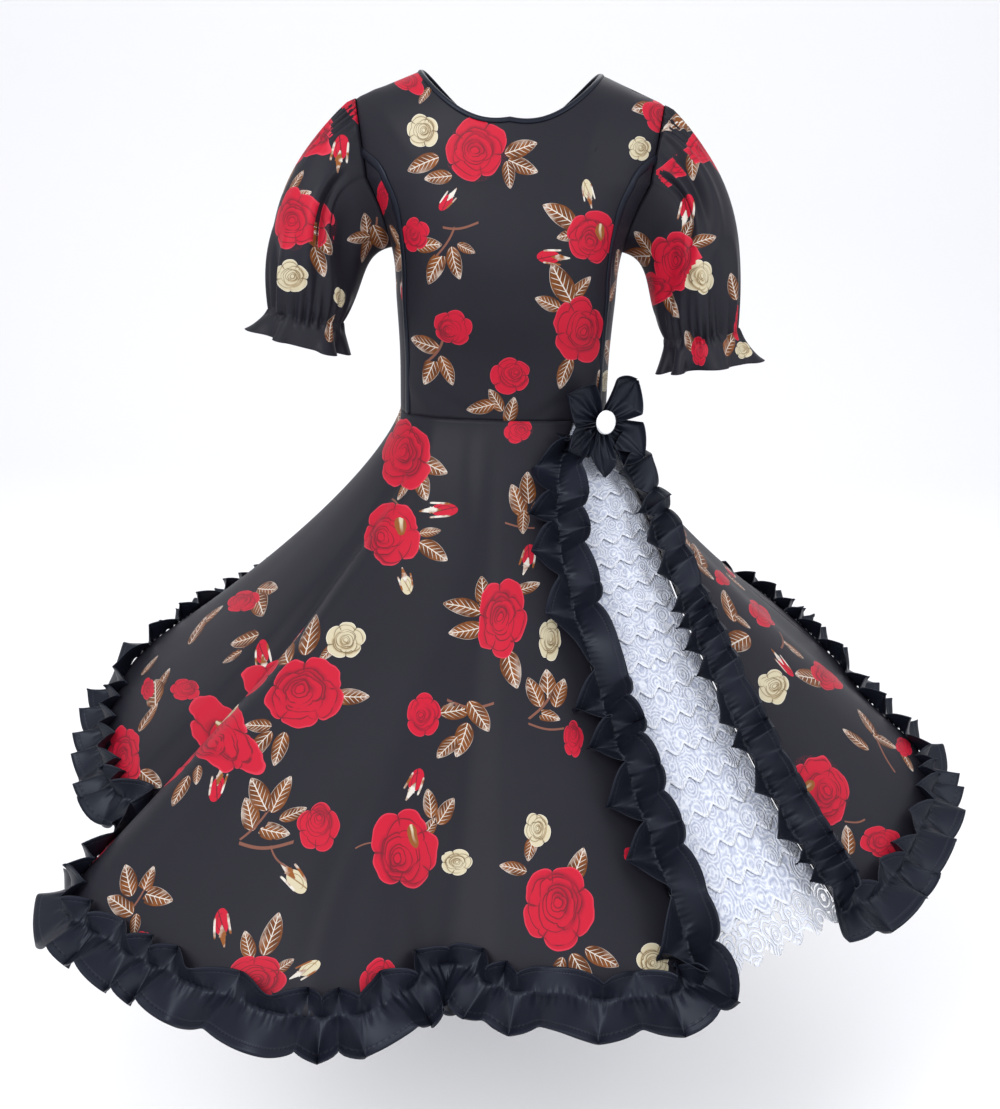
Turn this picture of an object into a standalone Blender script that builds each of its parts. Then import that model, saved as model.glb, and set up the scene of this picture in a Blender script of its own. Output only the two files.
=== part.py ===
"""Cueca dress: a fitted bodice, short puffed sleeves and a flared skirt with a lace slit and ruffles.

The dress keeps the hollow form that it has when it is worn. Metres, +Z up, front towards -Y,
the wearer's left towards +X. The origin lies midway between the shoulder seams at the neck.
Every cloth piece is a wall: a sheet of points, moved half the cloth's thickness to each side.
"""
import math
from collections import namedtuple

import bmesh
import bpy
import numpy as np

# Cloth and seams
SATIN = 0.0015
RUFFLE_CLOTH = 0.0012
LACE_CLOTH = 0.0012
SEAM_GAP = 0.0003

# Bodice
WAIST = -0.410
WAIST_SIDE_DIP = 0.008
ROUNDNESS = 2.3
CHEST = -0.120
SHOULDER_SLOPE = -0.40
NECK_HALF_WIDTH = 0.113
RIDGE_HALF_WIDTH = 0.194
FRONT_SWELL = 0.25
BACK_SWELL = 0.30
NECK_SHARE = 0.415
FRONT_NECK_LEVEL = 1.275
BACK_NECK_LEVEL = 1.196
UNDERARM_LEVEL = 0.70
PRINCESS_TOP_LEVEL = 1.20
SIDE_FRONT_TIP = 3.0
SIDE_FRONT_COLUMNS = 4
SCOOP_COLUMNS = 4
SHOULDER_COLUMNS = 3
BODICE_LEVELS = (0.0, 0.2, 0.38, 0.55, 0.70, 0.86, 1.0, 1.1, 1.2, 1.4, 1.6, 1.8, 2.0)

BodiceRow = namedtuple("BodiceRow", "height half_width front_depth back_depth")
BODICE = (
    BodiceRow(-0.410, 0.140, 0.098, 0.078),
    BodiceRow(-0.330, 0.140, 0.104, 0.083),
    BodiceRow(-0.270, 0.143, 0.117, 0.092),
    BodiceRow(-0.210, 0.147, 0.124, 0.100),
    BodiceRow(-0.160, 0.163, 0.117, 0.103),
    BodiceRow(-0.120, 0.185, 0.106, 0.100),
)

# Bearings of the bodice's seams, in degrees from the centre front or the centre back.
# A level of 0 is the waist, 1 the chest and 2 the shoulder seam.
SeamRow = namedtuple("SeamRow", "level bearing")
PRINCESS_SEAM = (
    SeamRow(0.0, 63.0),
    SeamRow(0.4, 62.0),
    SeamRow(0.62, 60.0),
    SeamRow(0.83, 54.0),
    SeamRow(0.96, 51.0),
    SeamRow(1.1, 57.0),
    SeamRow(1.2, 72.0),
)
FRONT_ARMHOLE = (
    SeamRow(0.70, 90.0),
    SeamRow(0.78, 80.0),
    SeamRow(0.86, 75.5),
    SeamRow(1.0, 70.5),
    SeamRow(1.1, 70.5),
    SeamRow(1.2, 72.0),
    SeamRow(1.4, 74.4),
    SeamRow(1.6, 76.5),
    SeamRow(2.0, 78.4),
)
BACK_ARMHOLE = (
    SeamRow(0.70, 90.0),
    SeamRow(0.78, 81.0),
    SeamRow(0.86, 76.0),
    SeamRow(1.0, 71.0),
    SeamRow(1.2, 69.5),
    SeamRow(1.4, 71.0),
    SeamRow(1.6, 74.0),
    SeamRow(2.0, 78.4),
)

# Skirt. Bearings run from the front (0) over the wearer's left (90) and the back (180), from one edge of
# the slit (39) round to the other (380), and the last row closes the round. The calm radius is the hem
# without its folds.
SKIRT_ROWS = 8
WAVE_PITCH = 0.050
FLARE_POWER = 1.36
FOLD_POWER = 1.7
HemRow = namedtuple("HemRow", "bearing radius calm_radius height")
HEM = (
    HemRow(39.0, 0.627, 0.625, -0.860),
    HemRow(45.0, 0.634, 0.620, -0.860),
    HemRow(56.0, 0.630, 0.612, -0.858),
    HemRow(67.0, 0.628, 0.600, -0.855),
    HemRow(74.0, 0.612, 0.590, -0.852),
    HemRow(84.0, 0.560, 0.570, -0.845),
    HemRow(96.0, 0.532, 0.540, -0.830),
    HemRow(110.0, 0.513, 0.515, -0.812),
    HemRow(125.0, 0.520, 0.500, -0.810),
    HemRow(141.0, 0.478, 0.495, -0.810),
    HemRow(156.0, 0.512, 0.495, -0.810),
    HemRow(172.0, 0.480, 0.495, -0.810),
    HemRow(190.0, 0.514, 0.495, -0.810),
    HemRow(207.0, 0.474, 0.495, -0.810),
    HemRow(224.0, 0.508, 0.495, -0.808),
    HemRow(242.0, 0.478, 0.495, -0.802),
    HemRow(260.0, 0.493, 0.500, -0.792),
    HemRow(270.0, 0.540, 0.520, -0.815),
    HemRow(280.0, 0.562, 0.540, -0.838),
    HemRow(292.0, 0.570, 0.565, -0.850),
    HemRow(302.0, 0.572, 0.590, -0.852),
    HemRow(309.5, 0.562, 0.615, -0.854),
    HemRow(313.0, 0.640, 0.625, -0.857),
    HemRow(316.5, 0.690, 0.632, -0.860),
    HemRow(322.0, 0.692, 0.640, -0.860),
    HemRow(331.0, 0.686, 0.645, -0.860),
    HemRow(338.0, 0.684, 0.645, -0.860),
    HemRow(344.0, 0.680, 0.642, -0.860),
    HemRow(350.0, 0.652, 0.640, -0.860),
    HemRow(355.0, 0.588, 0.638, -0.854),
    HemRow(361.0, 0.612, 0.636, -0.860),
    HemRow(367.0, 0.624, 0.634, -0.860),
    HemRow(374.0, 0.640, 0.632, -0.860),
    HemRow(380.0, 0.638, 0.630, -0.860),
    HemRow(399.0, 0.627, 0.625, -0.860),
)
# Bearings of the slit's two edges down the skirt, and how far round the skirt they pull the cloth
SlitRow = namedtuple("SlitRow", "drop left_bearing right_bearing")
SLIT = (
    SlitRow(0.0, 79.0, 50.0),
    SlitRow(0.12, 75.0, 33.0),
    SlitRow(0.20, 70.0, 25.5),
    SlitRow(0.32, 60.0, 21.0),
    SlitRow(0.50, 49.0, 19.8),
    SlitRow(0.70, 42.5, 20.0),
    SlitRow(0.85, 40.0, 20.0),
    SlitRow(1.0, 39.0, 20.0),
)
SLIT_PULL_SPAN = 115.0
PanelRow = namedtuple("PanelRow", "name start end ruffle_lengths")
SKIRT_PANELS = (
    PanelRow("skirt_front_left", 39.0, 98.0, 1),
    PanelRow("skirt_back_left", 98.0, 180.0, 2),
    PanelRow("skirt_back_right", 180.0, 262.0, 2),
    PanelRow("skirt_front_right", 262.0, 380.0, 3),
)

# Ruffles: widths from the gathering line to each edge, and the height of the waves there
ChangeRow = namedtuple("ChangeRow", "share rate start")
SIZE_CHANGES = (
    ChangeRow(0.16, 1.9, 0.0),
    ChangeRow(0.10, 4.3, 1.0),
)
WAVE_STEPS = 4
HEM_HEADER = 0.024
HEM_FLANGE = 0.042
HEADER_WAVE = 0.013
FLANGE_WAVE = 0.010
SLIT_WAVES = 12
SLIT_FLANGE = 0.031
SLIT_WAVE = 0.013
LEAST_LIFT = 0.0009
SLIT_LEAST_LIFT = 0.0024
SLIT_START = 0.35
SLIT_FULL = 1.6
# Shares of a ruffle's width and of its lift at its middle point, and the least lift of its lower edge
FLANGE_MIDDLE = 0.45
FLANGE_MIDDLE_WAVE = 0.6
FLANGE_MIDDLE_LIFT = 0.003
FLANGE_LIFT = 0.006
SLIT_MIDDLE = 0.5
SLIT_MIDDLE_LIFT = 0.62
SLIT_FREE_LIFT = 0.25
SLIT_FIRST_SHARE = 0.5
SLIT_STOP_GAP = 0.08

# Lace
LACE_COLUMNS = 8
TIERS_PER_ROW = 2
LACE_RELIEF = 0.0025
LACE_RECESS = 0.010
LACE_SCALLOP = 0.07
# Where a tier starts and ends, as shares of its height. The last tier is shorter and its scallops point down.
TIER_START = 0.04
TIER_END = 0.96
LAST_TIER_END = 0.70
LAST_SCALLOP = -2.0

# Sleeves: the gathered line's ring, then the frill. Lengths run along the arm.
LOOP_STEPS = 3
PUFF_ROWS = 4
FRILL_ROWS = 2
FRILL_WAVES = 12
FRILL_WAVE = 0.006
SleeveRow = namedtuple("SleeveRow", "name side pinch_x pinch_y pinch_z frill flare lift_bearing lift")
SLEEVES = (
    SleeveRow("sleeve_right", -1, 0.259, -0.030, -0.292, 0.042, 0.010, 45.0, 0.010),
    SleeveRow("sleeve_left", 1, 0.256, -0.030, -0.304, 0.052, 0.008, 120.0, 0.012),
)
PINCH_ACROSS = 0.045
PINCH_DEEP = 0.056
ARM_OUTWARD = 0.20
ARM_FORWARD = 0.10
PUFF_BULGE = 0.028
PUFF_REACH = 0.40
# How the puff leaves the armhole: outward, towards the front, and down, with their change at the shoulder
LEAVE_OUT = 0.85
LEAVE_OUT_AT_TOP = 0.70
LEAVE_FRONT = 0.35
LEAVE_DOWN = 0.15
LEAVE_DOWN_AT_TOP = 0.53

# Neck binding
BINDING_WIDTH = 0.0055
BINDING_THICKNESS = 0.0028
BINDING_EDGE_SHARE = 0.7

# Strips along the princess seams. The top end stops short of the armhole by a share of its last row.
BAND_WIDTH = 0.0100
BAND_THICKNESS = 0.0014
BAND_CLEARANCE = 0.0006
BAND_TOP_SHARE = 0.5
BAND_TOP_LIFT = 0.0012

# Flower at the waist over the slit
FLOWER_X = 0.118
FLOWER_Y = -0.060
FLOWER_Z = -0.418
FLOWER_BEARING = 37.0
FLOWER_TILT = 8.0
FLOWER_STANDOFF = 0.017
PETAL_HOLE = 0.0048
PETAL_ROWS = 5
PETAL_COLUMNS = 4
PETAL_CUP = 0.006
PETAL_RIM = 0.003
PETAL_WIDEST = 0.55
PETAL_TIP_SHARE = 0.12
PetalRow = namedtuple("PetalRow", "name clock half_angle reach lift")
PETALS = (
    PetalRow("petal_1", 54.0, 35.0, 0.060, 8.0),
    PetalRow("petal_2", 127.0, 34.0, 0.061, 17.0),
    PetalRow("petal_3", 197.0, 25.0, 0.060, 21.0),
    PetalRow("petal_4", 247.0, 22.0, 0.066, 16.0),
    PetalRow("petal_5", 303.0, 31.0, 0.060, 3.0),
)
BUTTON_RADIUS = 0.0155
BUTTON_HEIGHT = 0.0075
BUTTON_SHANK = 0.0040
BUTTON_SEAT = 0.0039
BUTTON_CLEARANCE = 0.0085
BUTTON_TURNS = 16
# The button's profile above its shank: shares of its height and of its radius
DomeRow = namedtuple("DomeRow", "height radius")
DOME = (
    DomeRow(0.0, 0.86),
    DomeRow(0.25, 1.0),
    DomeRow(0.55, 0.90),
    DomeRow(0.85, 0.58),
    DomeRow(1.0, 0.0),
)

# Centre-back zip
TAPE_HALF_WIDTH = 0.011
TAPE_THICKNESS = 0.0010
TAPE_CLEARANCE = 0.0007
TAPE_SKIRT_ROWS = 2
SLIDER_WIDTH = 0.0070
SLIDER_LENGTH = 0.0110
SLIDER_THICKNESS = 0.0018
SLIDER_LEVEL = 1.08
LUG_WIDTH = 0.0010
LUG_HEIGHT = 0.0042
LUG_LENGTH = 0.0030
LUG_ROOT = 0.0003
PIN_PLACE = 0.20
PIN_RADIUS = 0.0006
EYE_RADIUS = 0.0016
EYE_BORE = 0.0010
TAB_WIDTH = 0.0042
TAB_LENGTH = 0.0200
TAB_THICKNESS = 0.0012
TAB_START = 0.6
EYE_WIDTH_SHARE = 0.98
BORE_WIDTH_SHARE = 2.0


def row_values(table, column):
    """One named column of a table."""
    return np.array([getattr(row, column) for row in table], float)


def smooth(table, key, column, value):
    """A smooth curve through a table's points, read at one value or an array of values."""
    places = row_values(table, key)
    heights = row_values(table, column)
    slopes = np.gradient(heights, places)
    spot = np.clip(np.searchsorted(places, value, side="right") - 1, 0, len(places) - 2)
    step = places[spot + 1] - places[spot]
    t = np.clip((value - places[spot]) / step, 0.0, 1.0)
    start = heights[spot] * (1 + 2 * t) * (1 - t) ** 2
    end = heights[spot + 1] * t * t * (3 - 2 * t)
    bend = step * (slopes[spot] * t * (1 - t) ** 2 - slopes[spot + 1] * t * t * (1 - t))
    return start + end + bend


def unit(vectors):
    """Vectors scaled to length 1."""
    vectors = np.asarray(vectors, float)
    return vectors / np.linalg.norm(vectors, axis=-1, keepdims=True)


def make_material(name, colour, roughness, metallic=0.0):
    """A Principled material with the piece's main colour."""
    material = bpy.data.materials.new(name)
    material.use_nodes = True
    shader = material.node_tree.nodes["Principled BSDF"]
    shader.inputs["Base Color"].default_value = (*colour, 1.0)
    shader.inputs["Roughness"].default_value = roughness
    shader.inputs["Metallic"].default_value = metallic
    return material


def add_object(name, vertices, faces, material):
    """A closed mesh object with its faces pointing out."""
    mesh = bpy.data.meshes.new(name)
    mesh.from_pydata([tuple(vertex) for vertex in vertices], [], faces)
    work = bmesh.new()
    work.from_mesh(mesh)
    bmesh.ops.recalc_face_normals(work, faces=work.faces)
    work.to_mesh(mesh)
    work.free()
    mesh.materials.append(material)
    piece = bpy.data.objects.new(name, mesh)
    bpy.context.scene.collection.objects.link(piece)
    return piece


def grid_normals(points, closed=False):
    """Unit normals of a sheet of points, rows by columns."""
    down = np.gradient(points, axis=0)
    if closed:
        along = np.roll(points, -1, axis=1) - np.roll(points, 1, axis=1)
    else:
        along = np.gradient(points, axis=1)
    return unit(np.cross(along, down))


def wall(name, points, normals, thickness, material, closed=False):
    """A closed wall round a sheet of points, rows by columns, which may close round its columns."""
    rows, columns = points.shape[:2]
    count = rows * columns
    shift = normals * thickness / 2
    vertices = np.concatenate([(points + shift).reshape(-1, 3), (points - shift).reshape(-1, 3)])
    faces = []

    def spot(row, column, inner):
        return row * columns + column % columns + (count if inner else 0)

    def quad(a, b, c, d, crossed=False):
        if crossed:
            faces.append((a, b, d))
            faces.append((b, c, d))
            return
        faces.append((a, b, c))
        faces.append((a, c, d))

    spans = columns if closed else columns - 1
    for row in range(rows - 1):
        for column in range(spans):
            after = (column + 1) % columns
            first = np.linalg.norm(points[row, column] - points[row + 1, after])
            second = np.linalg.norm(points[row, after] - points[row + 1, column])
            for inner in (False, True):
                corners = [
                    spot(row, column, inner),
                    spot(row, column + 1, inner),
                    spot(row + 1, column + 1, inner),
                    spot(row + 1, column, inner),
                ]
                quad(*corners, crossed=second < first)
    for column in range(spans):
        for row in (0, rows - 1):
            quad(
                spot(row, column, False),
                spot(row, column + 1, False),
                spot(row, column + 1, True),
                spot(row, column, True),
            )
    if not closed:
        for row in range(rows - 1):
            for column in (0, columns - 1):
                quad(
                    spot(row, column, False),
                    spot(row + 1, column, False),
                    spot(row + 1, column, True),
                    spot(row, column, True),
                )
    return add_object(name, vertices, faces, material)


def pull_back(points, normals, edges, distance):
    """Moves the named edges of a sheet back along the sheet, to leave a seam's gap."""
    moved = points.copy()
    lines = {
        "first_row": ((0, slice(None)), (1, slice(None))),
        "last_row": ((-1, slice(None)), (-2, slice(None))),
        "first_column": ((slice(None), 0), (slice(None), 1)),
        "last_column": ((slice(None), -1), (slice(None), -2)),
    }
    for edge in edges:
        line, neighbour = lines[edge]
        tangent = unit(np.gradient(points[line], axis=0))
        inward = unit(np.cross(normals[line], tangent))
        if np.sum((points[neighbour] - points[line]) * inward) < 0:
            inward = -inward
        moved[line] = moved[line] + inward * distance
    return moved


def sample(grid, row, column):
    """A point of a grid between its rows and columns, on the straight lines between them."""
    row = min(max(row, 0.0), grid.shape[0] - 1.0)
    column = min(max(column, 0.0), grid.shape[1] - 1.0)
    r = min(int(row), grid.shape[0] - 2)
    c = min(int(column), grid.shape[1] - 2)
    fr = row - r
    fc = column - c
    top = grid[r, c] * (1 - fc) + grid[r, c + 1] * fc
    bottom = grid[r + 1, c] * (1 - fc) + grid[r + 1, c + 1] * fc
    return top * (1 - fr) + bottom * fr


# Bodice

def bodice_point(side, bearing, level):
    """A point of the bodice's surface. side is -1 at the front and +1 at the back."""
    bearing = np.radians(bearing)
    lower = np.clip(level, 0.0, 1.0)
    height = WAIST + (CHEST - WAIST) * lower
    half_width = smooth(BODICE, "height", "half_width", height)
    column = "front_depth" if side < 0 else "back_depth"
    depth = smooth(BODICE, "height", column, height)
    rise = np.sin(np.radians(90.0) * np.clip(level - 1.0, 0.0, 1.0))
    swell = FRONT_SWELL if side < 0 else BACK_SWELL
    half_width = half_width + (RIDGE_HALF_WIDTH - half_width) * rise
    depth = depth * np.sqrt(1.0 - rise) * (1.0 + swell * rise)
    power = 2.0 / ROUNDNESS
    x = half_width * np.sign(bearing) * np.abs(np.sin(bearing)) ** power
    y = side * depth * np.abs(np.cos(bearing)) ** power
    height = height - WAIST_SIDE_DIP * (1.0 - lower) * (x / half_width) ** 2
    ridge = SHOULDER_SLOPE * (np.abs(x) - NECK_HALF_WIDTH)
    z = height + (ridge - height) * rise
    return np.stack([x, y, z], axis=-1)


def bodice_normal(side, bearing, level):
    """The outward normal of the bodice's surface."""
    small = 0.02
    level = np.minimum(level, 2.0 - small)
    along = bodice_point(side, bearing + 1.0, level) - bodice_point(side, bearing - 1.0, level)
    up = bodice_point(side, bearing, level + small) - bodice_point(side, bearing, level - small)
    return unit(np.cross(along, up)) * -side


def neck_level(share, lowest):
    """The level at which a column of a panel ends: the scoop near the centre, the shoulder outside."""
    inside = np.clip(np.abs(share) / NECK_SHARE, 0.0, 1.0)
    return lowest + (2.0 - lowest) * (1.0 - np.sqrt(1.0 - inside**2))


def neck_shares():
    """The shares of a half panel's width at which its columns lie, from the centre to the outer edge."""
    scoop = NECK_SHARE * np.sin(np.radians(np.linspace(0.0, 90.0, SCOOP_COLUMNS + 1)))
    shoulder = np.linspace(NECK_SHARE, 1.0, SHOULDER_COLUMNS + 1)[1:]
    return np.concatenate([scoop, shoulder])


def front_edge(level):
    """The bearing of the centre front's outer edge: the princess seam, then the armhole."""
    princess = smooth(PRINCESS_SEAM, "level", "bearing", level)
    armhole = smooth(FRONT_ARMHOLE, "level", "bearing", level)
    return np.where(level <= PRINCESS_TOP_LEVEL, princess, armhole)


def side_edge(level):
    """The bearing of the side front's outer edge: the side seam, then the armhole."""
    return np.where(level <= UNDERARM_LEVEL, 90.0, smooth(FRONT_ARMHOLE, "level", "bearing", level))


def back_edge(level):
    """The bearing of a back panel's outer edge, from the centre back."""
    return np.where(level <= UNDERARM_LEVEL, 90.0, smooth(BACK_ARMHOLE, "level", "bearing", level))


def bodice_sheet(side, shares, lowest, edge):
    """Points and normals of a panel with a scooped neck, rows by columns."""
    levels = np.array(BODICE_LEVELS)[:, None] / 2.0 * neck_level(shares, lowest)[None, :]
    bearings = shares[None, :] * edge(levels)
    return bodice_point(side, bearings, levels), bodice_normal(side, bearings, levels)


def side_front_sheet(hand):
    """Points and normals of a side front. hand is +1 at the wearer's left."""
    levels = np.array([level for level in BODICE_LEVELS if level <= PRINCESS_TOP_LEVEL])
    shares = np.linspace(0.0, 1.0, SIDE_FRONT_COLUMNS + 1)
    inner = front_edge(levels)[:, None]
    outer = side_edge(levels)[:, None].copy()
    outer[-1] = inner[-1] + SIDE_FRONT_TIP
    bearings = (inner + (outer - inner) * shares[None, :]) * hand
    grid = np.broadcast_to(levels[:, None], bearings.shape)
    return bodice_point(-1, bearings, grid), bodice_normal(-1, bearings, grid)


def build_bodice(material):
    """The five bodice panels. Returns their sheets for what is sewn to them."""
    shares = neck_shares()
    both = np.concatenate([-shares[:0:-1], shares])
    all_edges = ("first_row", "last_row", "first_column", "last_column")
    sheets = {"bodice_front_centre": bodice_sheet(-1, both, FRONT_NECK_LEVEL, front_edge)}
    for hand, word in ((-1, "right"), (1, "left")):
        sheets["bodice_side_front_" + word] = side_front_sheet(hand)
        sheets["bodice_back_" + word] = bodice_sheet(1, shares * hand, BACK_NECK_LEVEL, back_edge)
    for name, (points, normals) in sheets.items():
        moved = pull_back(points, normals, all_edges, SEAM_GAP / 2)
        wall(name, moved, normals, SATIN, material)
    return sheets


def build_bands(sheets, material):
    """The plain strips that lie over the princess seams, from the waist to the armholes."""
    rows = BODICE_LEVELS.index(PRINCESS_TOP_LEVEL) + 1
    centre, centre_normals = sheets["bodice_front_centre"]
    for word, edge, neighbour in (("right", 0, 1), ("left", -1, -2)):
        side = sheets["bodice_side_front_" + word][0]
        seam = centre[:rows, edge]
        out = centre_normals[:rows, edge]
        inner = seam + unit(centre[:rows, neighbour] - seam) * BAND_WIDTH / 2
        outer = seam + unit(side[:rows, 1] - seam) * BAND_WIDTH / 2
        sheet = np.stack([inner, seam, outer], axis=1)
        normals = np.stack([out, out, out], axis=1)
        for line in (sheet, normals):
            line[-1] = line[-2] + (line[-1] - line[-2]) * BAND_TOP_SHARE
        normals = unit(normals)
        lifted = sheet + normals * (SATIN / 2 + BAND_CLEARANCE + BAND_THICKNESS / 2)
        lifted[-1] += normals[-1] * BAND_TOP_LIFT
        wall("princess_band_" + word, lifted, normals, BAND_THICKNESS, material)


def build_neck_binding(sheets, material):
    """A narrow strip along the neck's edge, from the centre back round the front and back again."""
    scoop = SCOOP_COLUMNS + 1
    middle = len(neck_shares()) - 1
    front, front_normals = sheets["bodice_front_centre"]
    left, left_normals = sheets["bodice_back_left"]
    right, right_normals = sheets["bodice_back_right"]
    span = slice(middle - scoop + 1, middle + scoop)
    line = np.concatenate([right[-1, : scoop - 1], front[-1, span], left[-1, scoop - 2 :: -1]])
    normals = np.concatenate(
        [right_normals[-1, : scoop - 1], front_normals[-1, span], left_normals[-1, scoop - 2 :: -1]]
    )
    tangent = unit(np.gradient(line, axis=0))
    tangent[[0, -1]] = (-1.0, 0.0, 0.0)
    away = unit(np.cross(normals, tangent))
    if np.sum(away * (line - line.mean(axis=0))) > 0:
        away = -away
    line[0, 0] -= SEAM_GAP
    line[-1, 0] += SEAM_GAP
    near = line + away * SEAM_GAP
    far = near + away * BINDING_WIDTH
    sheet = np.stack([near, (near + far) / 2, far])
    spread = np.stack([normals, normals, normals])
    shares = np.array([BINDING_EDGE_SHARE, 1.0, BINDING_EDGE_SHARE])
    thickness = shares[:, None, None] * BINDING_THICKNESS
    wall("neck_binding", sheet, spread * thickness, 1.0, material)


# Sleeves

def armhole_loop(sheets, hand):
    """The armhole's points from the shoulder down the front, round the underarm and up the back."""
    word = "left" if hand > 0 else "right"
    centre, centre_normals = sheets["bodice_front_centre"]
    side, side_normals = sheets["bodice_side_front_" + word]
    back, back_normals = sheets["bodice_back_" + word]
    column = -1 if hand > 0 else 0
    top = BODICE_LEVELS.index(PRINCESS_TOP_LEVEL)
    under = BODICE_LEVELS.index(UNDERARM_LEVEL)
    points = [
        centre[:top:-1, column],
        side[top : under - 1 : -1, -1],
        back[under + 1 :, -1],
    ]
    normals = [
        centre_normals[:top:-1, column],
        side_normals[top : under - 1 : -1, -1],
        back_normals[under + 1 :, -1],
    ]
    return np.concatenate(points)[:-1], np.concatenate(normals)[:-1]


def densify(loop, steps):
    """A closed loop with its straight runs divided into equal steps."""
    ahead = np.roll(loop, -1, axis=0)
    shares = np.arange(steps)[:, None] / steps
    parts = [start + (end - start) * shares for start, end in zip(loop, ahead)]
    return np.concatenate(parts)


def sleeve_sheet(sheets, row):
    """Points of a sleeve, rows by columns, from the armhole to the frill's edge."""
    loop, normals = armhole_loop(sheets, row.side)
    tangent = unit(np.roll(loop, -1, axis=0) - np.roll(loop, 1, axis=0))
    away = unit(np.cross(normals, tangent))
    if np.sum(away * (loop - loop.mean(axis=0))) > 0:
        away = -away
    start = densify(loop + away * (SEAM_GAP * 0.5 + SEAM_GAP + SATIN / 2), LOOP_STEPS)
    count = len(start)
    turn = 2 * math.pi * np.arange(count) / count
    out = np.array([row.side, 0.0, 0.0])
    front = np.array([0.0, -1.0, 0.0])
    arm = unit(np.array([row.side * ARM_OUTWARD, -ARM_FORWARD, -1.0]))
    across = unit(out - arm * np.dot(out, arm))
    deep = unit(front - arm * np.dot(front, arm))
    ring = np.cos(turn)[:, None] * across * PINCH_ACROSS + np.sin(turn)[:, None] * deep * PINCH_DEEP
    centre = np.array([row.side * row.pinch_x, row.pinch_y, row.pinch_z])
    end = centre + ring
    radial = unit(ring)
    reach = np.linalg.norm(end - start, axis=1)[:, None] * PUFF_REACH
    top = (0.5 + 0.5 * np.cos(turn))[:, None]
    leave = unit(
        out * (LEAVE_OUT + (LEAVE_OUT_AT_TOP - LEAVE_OUT) * top)
        + front * LEAVE_FRONT * np.sin(turn)[:, None]
        + np.array([0.0, 0.0, -1.0]) * (LEAVE_DOWN + (LEAVE_DOWN_AT_TOP - LEAVE_DOWN) * top)
    )
    first = start + leave * reach
    second = end - arm * reach + radial * PUFF_BULGE
    rows = []
    for t in np.linspace(0.0, 1.0, PUFF_ROWS + 1):
        rows.append(
            start * (1 - t) ** 3
            + first * 3 * t * (1 - t) ** 2
            + second * 3 * t * t * (1 - t)
            + end * t**3
        )
    for t in np.linspace(0.0, 1.0, FRILL_ROWS + 1)[1:]:
        wave = np.sin(FRILL_WAVES * turn)[:, None] * FRILL_WAVE
        raised = row.lift * (0.5 + 0.5 * np.cos(turn - math.radians(row.lift_bearing)))[:, None]
        drop = (row.frill - raised) * t
        rows.append(end + arm * drop + radial * (row.flare * t + wave * t))
    return np.stack(rows)


def build_sleeves(sheets, material):
    """Both short sleeves, each with its frill in one piece."""
    for row in SLEEVES:
        points = sleeve_sheet(sheets, row)
        normals = grid_normals(points, closed=True)
        wall(row.name, points, normals, SATIN, material, closed=True)


# Skirt

def waist_radius(bearing):
    """The waist's distance from the axis at a bearing in degrees."""
    angle = np.radians(bearing)
    waist = BODICE[0]
    depth = np.where(np.cos(angle) > 0, waist.front_depth, waist.back_depth)
    across = np.abs(np.sin(angle) / waist.half_width) ** ROUNDNESS
    deep = np.abs(np.cos(angle) / depth) ** ROUNDNESS
    return (across + deep) ** (-1.0 / ROUNDNESS)


def skirt_point(bearing, drop):
    """A point of the skirt's surface. drop is 0 at the waist and 1 at the hem line."""
    place = (bearing - HEM[0].bearing) % 360.0 + HEM[0].bearing
    radius = smooth(HEM, "bearing", "radius", place)
    calm = smooth(HEM, "bearing", "calm_radius", place)
    height = smooth(HEM, "bearing", "height", place)
    start = waist_radius(bearing)
    flared = start + (calm - start) * drop**FLARE_POWER + (radius - calm) * drop**FOLD_POWER
    angle = np.radians(bearing)
    sideways = start * np.sin(angle) / BODICE[0].half_width
    top = WAIST - SEAM_GAP - WAIST_SIDE_DIP * sideways**2
    z = top + (height - top) * drop
    return np.stack([flared * np.sin(angle), -flared * np.cos(angle), z + 0 * angle], axis=-1)


def slit_bearings(drop):
    """The bearings of the slit's left and right edges at a drop."""
    left = smooth(SLIT, "drop", "left_bearing", drop)
    right = smooth(SLIT, "drop", "right_bearing", drop)
    return left, right


def skirt_bearing(base, drop):
    """The bearing of a column of the skirt, which the slit's edges pull round."""
    left, right = slit_bearings(drop)
    near_left = np.clip(1.0 - (base - SKIRT_PANELS[0].start) / SLIT_PULL_SPAN, 0.0, 1.0)
    near_right = np.clip(1.0 - (SKIRT_PANELS[-1].end - base) / SLIT_PULL_SPAN, 0.0, 1.0)
    left_pull = (left - SLIT[-1].left_bearing) * near_left
    right_pull = (right - SLIT[-1].right_bearing) * near_right
    return base + left_pull + right_pull


def hem_columns():
    """Bearings of the skirt's columns, one for each ruffle wave, and the index where each panel starts."""
    bearings = [SKIRT_PANELS[0].start]
    starts = [0]
    for panel in SKIRT_PANELS:
        fine = np.linspace(panel.start, panel.end, 400)
        line = skirt_point(fine, np.ones_like(fine))
        walked = np.concatenate([[0.0], np.cumsum(np.linalg.norm(np.diff(line, axis=0), axis=1))])
        waves = round(walked[-1] / WAVE_PITCH)
        marks = np.linspace(0.0, walked[-1], waves + 1)[1:]
        bearings.extend(np.interp(marks, walked, fine))
        starts.append(len(bearings) - 1)
    return np.array(bearings), starts


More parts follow.
